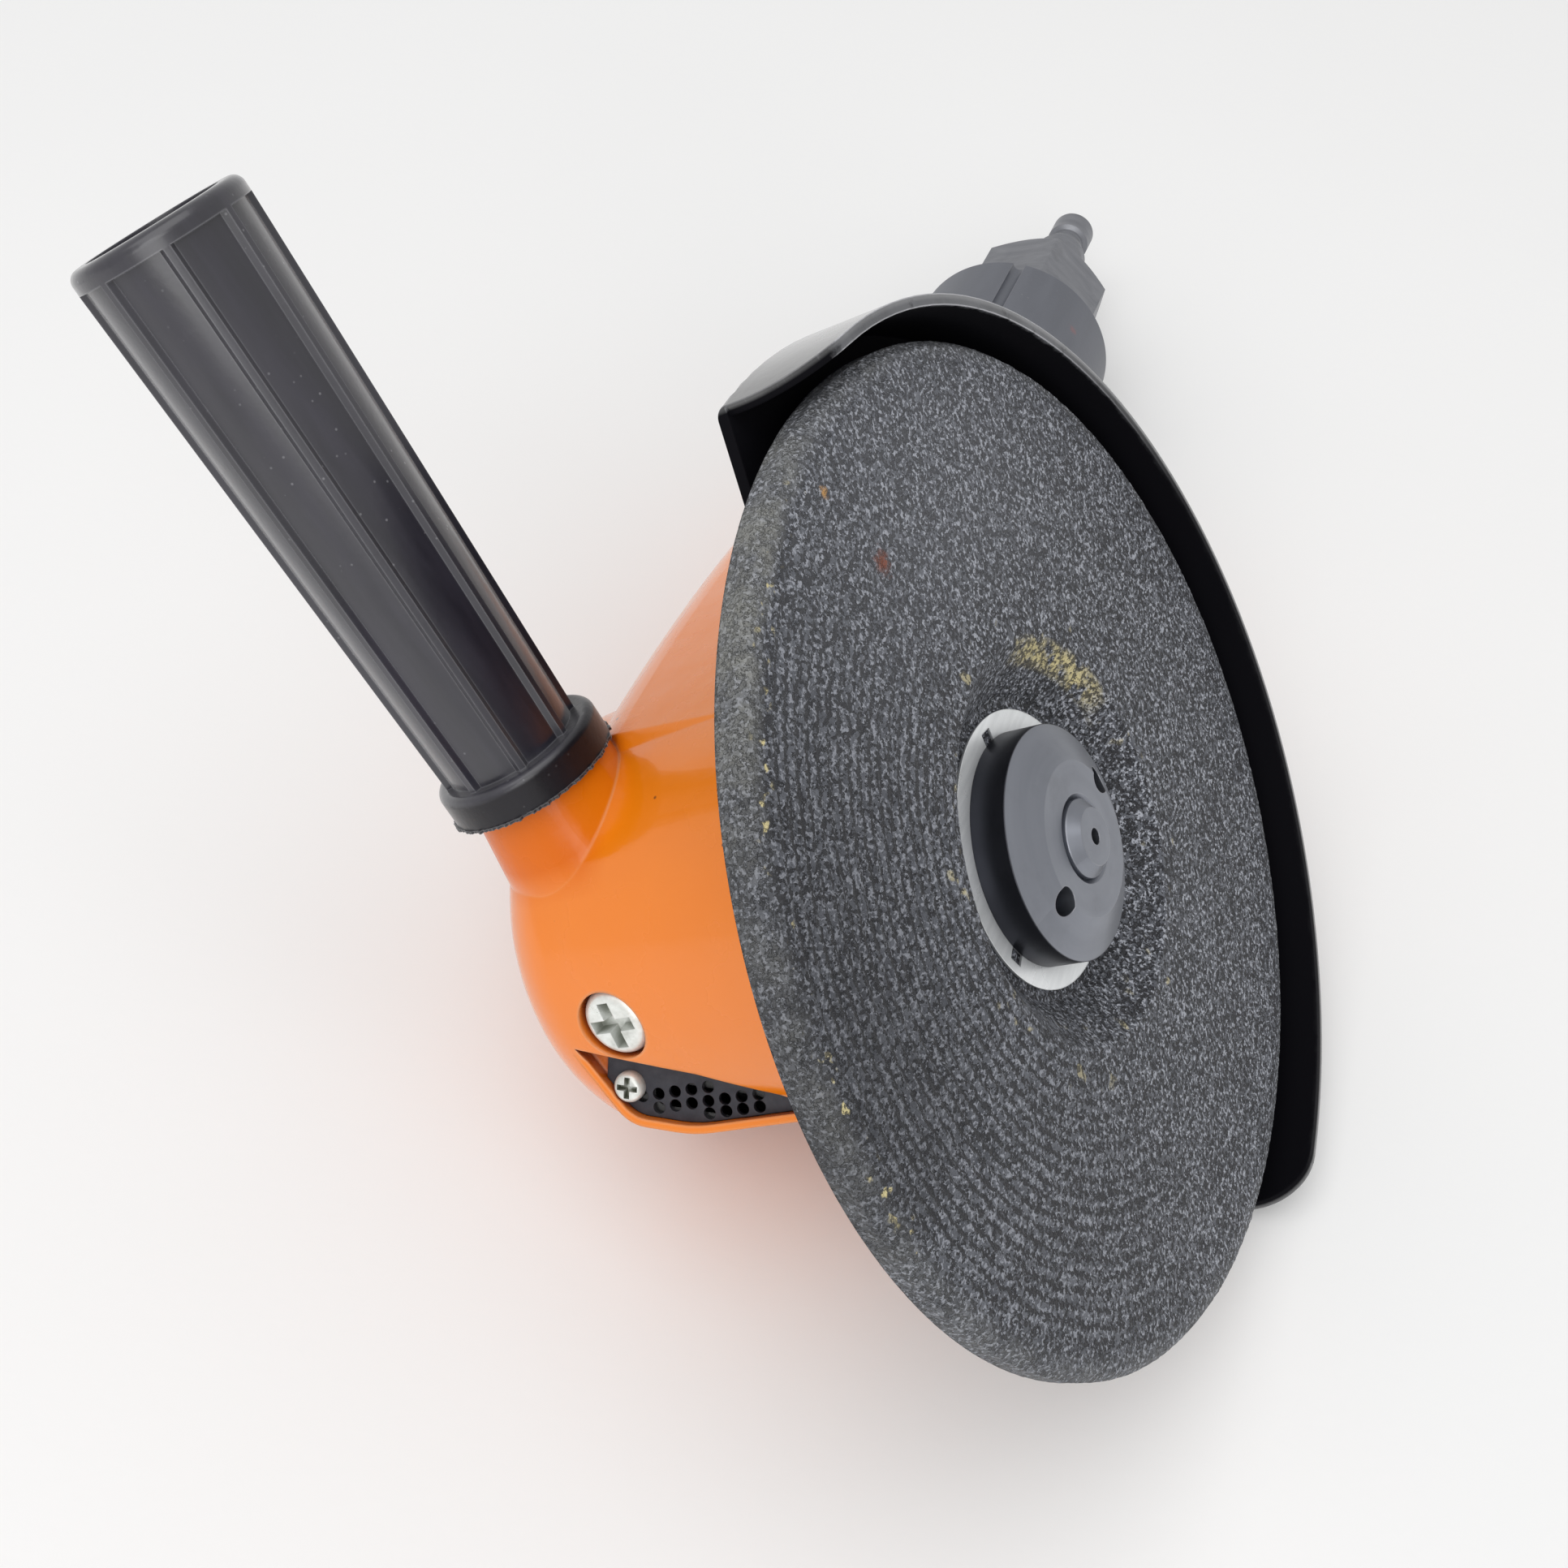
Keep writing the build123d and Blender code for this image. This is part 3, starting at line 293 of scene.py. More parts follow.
def plasticMaterial(spec):
    material, tree, shader, place = startMaterial(spec["name"])
    streakPlace = vectorCalc(tree, "MULTIPLY", place, spec["stretch"])
    streak = noiseOf(tree, streakPlace, spec["streak"], 3.0, 0.6)
    tone = mixTone(tree, spread(tree, streak, 0.35, 0.7), spec["tone"], spec["light"])
    dusty = spread(tree, cellsOf(tree, place, spec["dust"]), *handling["dustSize"])
    dusty = times(tree, dusty, patches(tree, place, handling["dustPatch"]))
    tone = tint(tree, dusty, spec["dustShare"], tone, spec["dustTone"])
    scratchPlace = addNode(tree, "Mapping", {
        "Vector": place, "Rotation": handling["scratchTurn"], "Scale": handling["scratchStretch"]})
    scratch = patches(tree, scratchPlace.outputs[0], handling["scratch"])
    scratch = times(tree, scratch, patches(tree, place, handling["scratchPatch"]))
    tone = tint(tree, scratch, spec["dustShare"], tone, spec["dustTone"])
    coat = spec["coat"]
    if "collar" in spec:   # the collar is painted darker than the grip as shade, and has a duller coat
        collar = spec["collar"]
        end, soft = collar["end"] * mm, collar["soft"] * mm
        low = spread(tree, apart(tree, place)[1], end + soft, end - soft)
        tone = tint(tree, low, collar["share"], tone, collar["tone"])
        coat = between(tree, low, spec["coat"], collar["coat"])
        connect(tree, shader, Specular_IOR_Level=between(tree, low, *collar["shine"]))
    for mark in spec.get("marks", ()):
        tone = tint(tree, spot(tree, place, mark), mark["share"], tone, mark["tone"])
    # painted highlight: edges lightened toward the dust tone
    edges = softEdges(tree, handling["crease"])[1]
    tone = tint(tree, edges, spec["edgeShare"], tone, spec["dustTone"])
    grain = noiseOf(tree, place, spec["grain"], 3.0, 0.6)
    normal = bumpOf(tree, streak, spec["streakBump"], bumpOf(tree, grain, spec["bump"]))
    rough = spread(tree, streak, *noiseWide, *spec["rough"])
    connect(tree, shader, Base_Color=tone, Roughness=rough, Normal=normal, Coat_Weight=coat,
            Coat_Roughness=handling["coatRough"], Coat_IOR=handling["coatIndex"],
            Sheen_Weight=spec.get("sheen", 0.0), Sheen_Roughness=handling["sheenRough"])
    return material


grip = {
    "name": "blackMoulding", "tone": (0.011, 0.01, 0.017), "light": (0.023, 0.021, 0.033),
    "dustTone": (0.26, 0.26, 0.28), "dustShare": 0.5, "dust": 420.0, "edgeShare": 0.4,
    "stretch": (1.0, 0.14, 1.0), "streak": 200.0, "streakBump": 0.00004,
    "grain": 900.0, "bump": 0.00004, "rough": (0.34, 0.46), "coat": 0.7, "sheen": 0.3,
    "collar": {"end": 54.6, "soft": 0.5, "share": 0.75, "tone": (0.004, 0.003, 0.004),
               "coat": 0.15, "shine": (0.5, 0.3)},
}
dress(plasticMaterial(grip), "side_grip")
sleevePlastic = {
    "name": "greySleeve", "tone": (0.1, 0.106, 0.125), "light": (0.128, 0.135, 0.157),
    "dustTone": (0.3, 0.3, 0.31), "dustShare": 0.25, "dust": 380.0, "edgeShare": 0.2,
    "stretch": (0.2, 1.0, 1.0), "streak": 140.0, "streakBump": 0.00003,
    "grain": 700.0, "bump": 0.00004, "rough": (0.4, 0.52), "coat": 0.0,
    "marks": ({"at": (205.0, 5.4, -50.5), "size": 2.2, "share": 0.35,
               "tone": (0.3, 0.09, 0.08)},),
}
dress(plasticMaterial(sleevePlastic), "throttle_sleeve")
sealRubber = {
    "name": "sealRubber", "tone": (0.012, 0.012, 0.012), "light": (0.026, 0.026, 0.026),
    "dustTone": (0.16, 0.15, 0.14), "dustShare": 0.3, "dust": 500.0, "edgeShare": 0.0,
    "stretch": (1.0, 1.0, 1.0), "streak": 200.0, "streakBump": 0.00002,
    "grain": 800.0, "bump": 0.00004, "rough": (0.5, 0.7), "coat": 0.0,
}
dress(plasticMaterial(sealRubber), "shaft_seal", "spool_rings")
vaneFibre = {
    "name": "vaneFibre", "tone": (0.16, 0.075, 0.03), "light": (0.26, 0.14, 0.06),
    "dustTone": (0.35, 0.25, 0.15), "dustShare": 0.4, "dust": 600.0, "edgeShare": 0.1,
    "stretch": (1.0, 1.0, 0.2), "streak": 420.0, "streakBump": 0.00005,
    "grain": 900.0, "bump": 0.00006, "rough": (0.5, 0.65), "coat": 0.0,
}
dress(plasticMaterial(vaneFibre), "rotor_vanes")
print("mouldings done")


# satin black sheet steel, bare along its lip
def sheetMaterial(spec):
    material, tree, shader, place = startMaterial(spec["name"])
    centred = vectorCalc(tree, "SUBTRACT", place, metres(spec["middle"]))
    radius, along, angle = roundAxis(tree, centred, "spindle")
    cloud = noiseOf(tree, place, spec["cloud"], 4.0, 0.6)
    tone = mixTone(tree, spread(tree, cloud, *noiseMiddle), spec["tone"], spec["light"])
    drawRound, drawAlong = spec["scuffDraw"]
    scuffPlace = addNode(tree, "CombineXYZ", {
        "X": times(tree, angle, drawRound), "Y": times(tree, along, drawAlong), "Z": radius})
    scuff = noiseOf(tree, scuffPlace.outputs[0], spec["scuff"], 4.0, 0.65)
    scuffed = spread(tree, scuff, *spec["scuffEdge"])
    tone = tint(tree, scuffed, spec["scuffShare"], tone, spec["bare"])
    # the bare lip, ragged and only on part of the turn, lighter there as wear and painted light
    start, full, end = (spec["lip"] * mm - down * mm for down in spec["lipDown"])
    ragged = calc(tree, "SUBTRACT", noiseOf(tree, place, spec["ragged"], 4.0, 0.7), 0.5)
    ragged = calc(tree, "ADD", along, times(tree, ragged, spec["raggedDeep"] * mm))
    edge = times(tree, spread(tree, ragged, full, end), spread(tree, along, start, full))
    wornFrom, wornFull = map(math.radians, spec["worn"])
    edge = times(tree, edge, spread(tree, angle, wornFrom, wornFull, spec["wornLeast"], 1.0))
    rubbed = spread(tree, noiseOf(tree, place, spec["rubbed"], 3.0), *spec["rubbedShare"])
    tone = tint(tree, edge, rubbed, tone, spec["lipTone"])
    # wear and painted highlight: edges lightened toward bare steel
    rounded, edges = softEdges(tree, spec["crease"])
    bared = calc(tree, "MAXIMUM", edge, spec["edgeShare"])
    tone = tint(tree, edges, bared, tone, spec["bare"])
    normal = bumpOf(tree, noiseOf(tree, place, spec["fine"]), spec["fineBump"], rounded)
    normal = bumpOf(tree, cloud, spec["cloudBump"], normal)
    # painted shade: the guard's inside is coloured near black
    wall, soft = spec["wall"] * mm, spec["wallSoft"] * mm
    outside = spread(tree, radius, wall - soft, wall + soft)
    shadedInside = calc(tree, "SUBTRACT", 1.0, outside)
    tone = tint(tree, shadedInside, calc(tree, "SUBTRACT", 1.0, edge), tone, spec["inside"])
    satin = calc(tree, "MAXIMUM", outside, edge)   # the inside is matt
    rough = spread(tree, cloud, *noiseWide, *spec["rough"])
    connect(tree, shader, Base_Color=tone, Normal=normal,
            Roughness=between(tree, satin, spec["insideRough"], rough),
            Specular_IOR_Level=between(tree, satin, *spec["shine"]),
            Coat_Weight=outside, Coat_Roughness=spec["coatRough"], Coat_IOR=spec["coatIndex"])
    return material


guardSheet = {
    "name": "blackSheet", "tone": (0.009, 0.009, 0.011), "light": (0.016, 0.016, 0.018),
    "cloud": 26.0, "cloudBump": 0.0003, "fine": 640.0, "fineBump": 0.00003,
    "bare": (0.6, 0.6, 0.64), "crease": 0.0005, "edgeShare": 0.25,
    "scuff": 150.0, "scuffDraw": (0.09, 14.0), "scuffEdge": (0.62, 0.72), "scuffShare": 0.1,
    "lip": 6.4, "lipDown": (1.2, 0.9, 0.2), "lipTone": (0.1, 0.103, 0.112),
    "ragged": 230.0, "raggedDeep": 2.4, "rubbed": 120.0, "rubbedShare": (0.3, 0.6, 0.6, 1.0),
    "worn": (5, 40), "wornLeast": 0.12,   # degrees over which the lip turns bare and lighter, wear and painted light
    "middle": (-1.65, -1.0, 0.0), "wall": 97.0, "wallSoft": 0.3,
    "inside": (0.0035, 0.0033, 0.0048), "insideRough": 0.7, "rough": (0.24, 0.34),
    "shine": (0.06, 0.55), "coatRough": 0.17, "coatIndex": 1.7,
}
dress(sheetMaterial(guardSheet), "guard", "guard_band")
print("guard done")

# metals, brushed or turned round an axis
metalFinish = {   # what all metals share
    "crease": 0.0003, "lineDraw": 0.002, "stainEdge": (0.55, 0.75), "evenly": (1.0, 1.0, 1.0),
    "cornerShade": {"reach": 0.006, "start": 0.8, "full": 0.3, "alone": False},
}


def metalMaterial(spec):
    material, tree, shader, place = startMaterial(spec["name"])
    if "axis" in spec:
        radius, along, angle = roundAxis(tree, place, spec["axis"])
        lines = {"X": radius, "Y": along, "Z": times(tree, angle, metalFinish["lineDraw"])}
        streakPlace = addNode(tree, "CombineXYZ", lines).outputs["Vector"]
    else:
        stretch = spec.get("stretch", metalFinish["evenly"])
        streakPlace = vectorCalc(tree, "MULTIPLY", place, stretch)
    streak = noiseOf(tree, streakPlace, spec["streak"], 3.0, 0.6)
    tone = mixTone(tree, spread(tree, streak, *noiseWide), spec["dark"], spec["light"])
    stain = noiseOf(tree, place, spec["stain"], 4.0, 0.6)
    stained = spread(tree, stain, *metalFinish["stainEdge"], 0.0, spec["stainShare"])
    tone = mixTone(tree, stained, tone, spec["stainAndShadeTone"])
    rounded, edges = softEdges(tree, metalFinish["crease"])
    # painted highlight: edges lightened toward the edge tone
    if "edgeTone" in spec:
        tone = tint(tree, edges, spec["edgeShare"], tone, spec["edgeTone"])
    if "rim" in spec:   # painted reflection: the nut's side is near black, as if reflecting the dark wheel
        start, full = metres(spec["rim"]["radius"])
        side = spread(tree, radius, start, full)
        tone = tint(tree, side, spec["rim"]["share"], tone, spec["rim"]["tone"])
    if "shade" in spec:   # painted shade where other pieces stand close
        shaded = hollows(tree, **metalFinish["cornerShade"])
        tone = tint(tree, shaded, spec["shade"], tone, spec["stainAndShadeTone"])
    if "grimeAndShade" in spec:   # dirt and painted shade in its own recesses
        grimeAndShadeMask = hollows(tree, spec["grimeReach"])
        tone = tint(tree, grimeAndShadeMask, spec["grimeAndShade"], tone, spec["stainAndShadeTone"])
    rough = spread(tree, stain, *noiseWide, *spec["rough"])
    normal = bumpOf(tree, streak, spec["bump"], rounded)
    connect(tree, shader, Base_Color=tone, Roughness=rough, Normal=normal,
            Metallic=spec["metal"])
    return material


brushedRing = {
    "name": "brushedRing", "dark": (0.82, 0.84, 0.85), "light": (0.95, 0.97, 0.98),
    "stainAndShadeTone": (0.24, 0.25, 0.26), "stain": 90.0, "stainShare": 0.1, "streak": 900.0,
    "bump": 0.00002, "rough": (0.26, 0.36), "metal": 0.45,
    "stretch": (0.12, 1.0, 1.0), "shade": 0.8,
}
dress(metalMaterial(brushedRing), "wheel_ring")
blackOxide = {
    "name": "blackOxide", "dark": (0.25, 0.262, 0.295), "light": (0.285, 0.298, 0.335),
    "stainAndShadeTone": (0.19, 0.195, 0.21), "stain": 120.0, "stainShare": 0.3, "streak": 260.0,
    "bump": 0.00001, "rough": (0.34, 0.42), "metal": 1.0, "axis": "spindle",
    "edgeShare": 0.45, "edgeTone": (0.5, 0.5, 0.52), "grimeAndShade": 0.5, "grimeReach": 0.0016,
}
dress(metalMaterial(blackOxide), "spindle", "inner_flange", "cover_screws")
# painted reflection of the dark wheel on the nut's side
nutSideShade = {"radius": (20.8, 20.95), "share": 0.85, "tone": (0.02, 0.02, 0.028)}
dress(metalMaterial(dict(blackOxide, name="nutOxide", rim=nutSideShade)), "lock_nut")
zincPlate = {
    "name": "zincPlate", "dark": (0.7, 0.72, 0.68), "light": (0.86, 0.88, 0.85),
    "stainAndShadeTone": (0.1, 0.108, 0.065), "stain": 190.0, "stainShare": 0.35, "streak": 800.0,
    "bump": 0.00003, "rough": (0.26, 0.4), "metal": 0.4,
    "edgeShare": 0.4, "edgeTone": (0.85, 0.86, 0.84), "grimeAndShade": 0.9, "grimeReach": 0.0016,
}
dress(metalMaterial(zincPlate), "grille_screw", "guard_clamp_screw", "guard_clamp_nut",
      "handle_stud")
largeScrew = dict(zincPlate, name="largeScrew", grimeAndShade=0.7, grimeReach=0.0026)
dress(metalMaterial(largeScrew), "cylinder_screw")
grillePlate = {
    "name": "grillePlate", "dark": (0.022, 0.022, 0.03), "light": (0.04, 0.04, 0.05),
    "stainAndShadeTone": (0.07, 0.07, 0.075), "stain": 160.0, "stainShare": 0.4, "streak": 500.0,
    "bump": 0.00004, "rough": (0.4, 0.55), "metal": 0.2,
}
dress(metalMaterial(grillePlate), "exhaust_grille")
inletSteel = {
    "name": "inletSteel", "dark": (0.19, 0.195, 0.215), "light": (0.25, 0.255, 0.275),
    "stainAndShadeTone": (0.12, 0.12, 0.125), "stain": 110.0, "stainShare": 0.3, "streak": 400.0,
    "bump": 0.00002, "rough": (0.36, 0.48), "metal": 0.6, "axis": "tail",
    "edgeShare": 0.3, "edgeTone": (0.36, 0.36, 0.38),
}
dress(metalMaterial(inletSteel), "inlet_bushing", "air_nipple")
groundSteel = {
    "name": "groundSteel", "dark": (0.45, 0.45, 0.46), "light": (0.66, 0.66, 0.67),
    "stainAndShadeTone": (0.2, 0.18, 0.15), "stain": 90.0, "stainShare": 0.3, "streak": 900.0,
    "bump": 0.00002, "rough": (0.16, 0.28), "metal": 1.0, "axis": "spindle",
}
dress(metalMaterial(groundSteel), "rotor_key", "sleeve_pin",
      "lower_bearing_outer_ring", "lower_bearing_inner_ring", "lower_bearing_balls",
      "upper_bearing_outer_ring", "upper_bearing_inner_ring", "upper_bearing_balls")
castAluminium = {
    "name": "castAluminium", "dark": (0.42, 0.425, 0.43), "light": (0.6, 0.6, 0.6),
    "stainAndShadeTone": (0.16, 0.15, 0.14), "stain": 60.0, "stainShare": 0.4, "streak": 300.0,
    "bump": 0.0001, "rough": (0.38, 0.56), "metal": 1.0,
}
dress(metalMaterial(castAluminium), "front_cover", "valve_body", "throttle_spool")
motorIron = {
    "name": "motorIron", "dark": (0.16, 0.16, 0.165), "light": (0.3, 0.3, 0.3),
    "stainAndShadeTone": (0.1, 0.07, 0.05), "stain": 60.0, "stainShare": 0.4, "streak": 420.0,
    "bump": 0.00006, "rough": (0.34, 0.5), "metal": 1.0, "axis": "spindle",
}
dress(metalMaterial(motorIron), "motor_cylinder", "lower_end_plate", "upper_end_plate", "rotor")
brassMesh = {
    "name": "brassMesh", "dark": (0.5, 0.33, 0.1), "light": (0.72, 0.5, 0.2),
    "stainAndShadeTone": (0.15, 0.1, 0.05), "stain": 150.0, "stainShare": 0.5, "streak": 700.0,
    "bump": 0.00003, "rough": (0.3, 0.45), "metal": 1.0,
}
dress(metalMaterial(brassMesh), "inlet_strainer")
print("metals done")

# the bonded wheel, with its grain and rings in the mesh
wheel = {
    "name": "wheelDisc", "segments": 720, "frontStep": 0.62, "backStep": 6.0,
    "faceLow": -5.3, "faceIn": 26.0, "flatHigh": 2.4, "flatOut": 84.7,
    "grainDeep": 0.2, "coarse": 0.9, "fine": 2.1, "fineShare": 0.6, "fineShift": (7, 3, 1),
    "rimGrain": 1.3, "ringPitch": 2.6, "ringDeep": 0.4,
    "ribAt": 165.0, "ribWide": 45.0, "ribLeast": 0.15,   # rings are plainest at this angle
    "profile": ((90.0, -3.5), (90.0, 0.0), (88.6, 1.7), (84.6, 2.5), (36.0, 2.5),
                (27.0, -5.25), (11.15, -5.25), (11.15, -11.25), (27.0, -11.25),
                (36.0, -3.5), (90.0, -3.5)),
}


def ringFaces(rows, columns, flipped=False):   # a band that closes both ways
    faces = []
    for row in range(rows):
        start, after = row * columns, (row + 1) % rows * columns
        for column in range(columns):
            near = (column + 1) % columns
            face = (start + column, start + near, after + near, after + column)
            faces.append((face[0], face[3], face[2], face[1]) if flipped else face)
    return faces


def wheelRings(spec):
    rings = []
    points = spec["profile"]
    for first, second in zip(points, points[1:]):
        onFace = first[0] > spec["faceIn"] and min(first[1], second[1]) > spec["faceLow"]
        stepLong = spec["frontStep"] if onFace else spec["backStep"]
        steps = max(1, round(math.dist(first, second) / stepLong))
        for step in range(steps):
            radius, high = (a + (b - a) * (step / steps) for a, b in zip(first, second))
            rings.append((radius, high, onFace))
    return rings


def grainDip(spec, radius, high, angle):   # how far the face lies under its profile
    point = Vector((radius * math.cos(angle), radius * math.sin(angle), high))
    fine = noise.noise(point * spec["fine"] + Vector(spec["fineShift"]))
    rough = noise.noise(point * spec["coarse"]) + spec["fineShare"] * fine
    dip = spec["grainDeep"] * (0.5 + 0.5 * rough / (1 + spec["fineShare"]))
    if high > spec["flatHigh"] and radius < spec["flatOut"]:
        away = (math.degrees(angle) - spec["ribAt"]) / spec["ribWide"]
        wide = spec["ribLeast"] + (1 - spec["ribLeast"]) * math.exp(-away ** 2)
        wave = 0.5 + 0.5 * math.cos(2 * math.pi * radius / spec["ringPitch"])
        dip += wide * spec["ringDeep"] * wave
    return dip


def buildWheel(spec):
    rings = wheelRings(spec)
    count = spec["segments"]
    points = []
    for radius, high, onFace in rings:
        for index in range(count):
            angle = 2 * math.pi * index / count
            r, z = radius, high
            if onFace:
                dip = grainDip(spec, radius, high, angle)
                z -= dip
                if radius > spec["flatOut"]:
                    r -= dip * spec["rimGrain"]
            point = Vector((r * math.cos(angle), r * math.sin(angle), z))
            points.append(toolFrame @ (point * mm))
    return addPiece(spec["name"], points, ringFaces(len(rings), count), True)


def abrasiveMaterial(spec):
    material, tree, shader, place = startMaterial(spec["name"])
    radius, _, angle = roundAxis(tree, place, "spindle")
    turn = times(tree, angle, 180 / math.pi)
    facing = calc(tree, "COSINE", calc(tree, "SUBTRACT", angle, math.radians(wheel["ribAt"])))
    cloud = noiseOf(tree, place, spec["cloud"], 4.0, 0.6)
    tone = mixTone(tree, spread(tree, cloud, *noiseMiddle), spec["dark"], spec["tone"])
    grain = noiseOf(tree, place, spec["grain"], 1.0)
    bright = spread(tree, grain, *spec["grainLight"])
    tone = tint(tree, bright, spread(tree, facing, *spec["lightShare"]), tone, spec["light"])
    # pits, in rings on the flat
    turns = times(tree, radius, 2 * math.pi / (wheel["ringPitch"] * mm))
    wobble = times(tree, noiseOf(tree, place, spec["wobble"]), spec["wobbleFar"])
    ring = calc(tree, "COSINE", calc(tree, "ADD", turns, wobble))
    flat = band(tree, radius, *metres(spec["flat"]))
    groove = times(tree, times(tree, ring, flat), spread(tree, facing, *spec["groove"]))
    pitField = calc(tree, "ADD", noiseOf(tree, place, spec["pit"], 2.0, 0.7), groove)
    deepField = calc(tree, "ADD", noiseOf(tree, place, spec["deepPit"], 2.0, 0.6), groove)
    pits = calc(tree, "MAXIMUM", spread(tree, pitField, *spec["pitEdge"]),
                spread(tree, deepField, *spec["deepPitEdge"]))
    rim = spread(tree, radius, *metres(spec["rim"]))
    pits = times(tree, pits, between(tree, rim, 1.0, spec["rimPits"]))
    tone = tint(tree, pits, spec["pitShare"], tone, spec["pitAndShadeTone"])
    for zone in spec["lightAndShadeZones"]:   # painted shade over one sector and painted light over another
        part = spread(tree, radius, *metres(zone["radius"]), 0.0, zone["share"])
        tone = tint(tree, band(tree, turn, *zone["turn"]), part, tone, spec[zone["tone"]])
    # dust on the worn rim
    worn = times(tree, rim, band(tree, turn, *spec["worn"]))
    worn = calc(tree, "MAXIMUM", worn, times(tree, rim, spec["wornLeast"]))
    dusty = spread(tree, noiseOf(tree, place, spec["dust"], 4.0, 0.65), *spec["dustShare"])
    tone = tint(tree, worn, dusty, tone, spec["dustTone"])
    # bared glass fibre at the rim, round the hub and on the slope
    edge = band(tree, radius, *metres(spec["fibreRim"]))
    edge = times(tree, edge, spread(tree, turn, *spec["fibreRimTurn"]))
    edge = times(tree, edge, patches(tree, place, spec["rimFleck"]))
    hub = band(tree, radius, *metres(spec["fibreHub"]))
    hub = times(tree, hub, patches(tree, place, spec["hubFleck"]))
    hub = times(tree, hub, spec["fibreHubShare"])
    slope = band(tree, radius, *metres(spec["fibreSlope"]))
    slope = times(tree, slope, band(tree, turn, *spec["fibreSlopeTurn"]))
    slope = times(tree, slope, patches(tree, place, spec["slopeFleck"]))
    fleck = calc(tree, "MAXIMUM", calc(tree, "MAXIMUM", edge, hub), slope)
    clear = calc(tree, "SUBTRACT", 1.0, times(tree, pits, spec["fibrePits"]))
    tone = tint(tree, times(tree, fleck, clear), spec["fibreShare"], tone, spec["fibre"])
    for mark in spec["rust"]:
        tone = tint(tree, spot(tree, place, mark), mark["share"], tone, mark["tone"])
    height = calc(tree, "SUBTRACT", times(tree, grain, spec["grainHigh"]), pits)
    connect(tree, shader, Base_Color=tone, Normal=bumpOf(tree, height, spec["bump"]),
            Roughness=spread(tree, grain, *spec["rough"]))
    return material


abrasive = {   # radii in millimetres, turns in degrees, each band with its soft edge last
    "name": "abrasive", "tone": (0.112, 0.119, 0.139), "dark": (0.048, 0.052, 0.064),
    "light": (0.36, 0.375, 0.42), "lightShare": (0.0, 0.8, 0.95, 0.6), "cloud": 260.0,
    "grain": 1500.0, "grainLight": (0.52, 0.6), "grainHigh": 0.8, "bump": 0.0008,
    "rough": (0.4, 0.6, 0.5, 0.68), "flat": (37, 84, 2), "groove": (0.3, 0.85, 0.014, 0.07),
    "wobble": 60.0, "wobbleFar": 3.0,
    "pitAndShadeTone": (0.006, 0.006, 0.009), "pit": 1150.0, "pitEdge": (0.492, 0.432),
    "deepPit": 640.0, "deepPitEdge": (0.385, 0.34), "pitShare": 0.92, "rimPits": 0.7,
    "lightAndShadeZones": ({"turn": (135.0, 190.0, 25.0), "radius": (40, 70), "share": 0.4,
               "tone": "pitAndShadeTone"},
              {"turn": (35.0, 110.0, 25.0), "radius": (36, 56), "share": 0.12,
               "tone": "light"}),
    "rim": (85.5, 88.0), "worn": (96.0, 132.0, 14.0), "wornLeast": 0.25,
    "dustTone": (0.22, 0.22, 0.2), "dust": 150.0, "dustShare": (0.36, 0.62, 0.2, 0.85),
    "fibre": (0.58, 0.5, 0.25), "fibreShare": 0.9, "fibrePits": 0.8,
    "fibreRim": (85, 88, 0.8), "fibreRimTurn": (90.0, 96.0),
    "rimFleck": {"scale": 420.0, "start": 0.62, "full": 0.67},
    "fibreHub": (33, 42, 2), "fibreHubShare": 0.6,
    "hubFleck": {"scale": 260.0, "detail": 1.0, "start": 0.68, "full": 0.74},
    "fibreSlope": (32.4, 36.2, 0.9), "fibreSlopeTurn": (10.0, 56.0, 6.0),
    "slopeFleck": {"scale": 300.0, "detail": 3.0, "start": 0.36, "full": 0.5},
    "rust": ({"at": (-4.5, 64.8, 2.3), "size": 3.4, "share": 0.9, "tone": (0.2, 0.05, 0.02)},
             {"at": (-8.2, 81.0, 2.3), "size": 1.6, "share": 0.9, "tone": (0.5, 0.26, 0.07)}),
}
wheelDisc = buildWheel(wheel)
wheelDisc.data.materials.append(abrasiveMaterial(abrasive))
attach(wheelDisc, "spinning_group")
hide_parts("grinding_wheel")
print("wheel done")

# moulding flash along the collar's lower edge
flash = {
    "name": "collarFlash", "foot": (-14.4, 0.0, -82.0), "aside": (-1.0, 0.55),
    "sweep": 3.9, "lean": -0.1, "segments": 300, "start": 48.0, "inner": 15.4, "outer": 16.3,
    "thick": 0.3, "drop": 0.4, "ragged": 0.9, "ragScale": 9,
    "tornAt": 122.0, "tornWide": 13.0, "tornDeep": 2.3,   # one torn flap
}


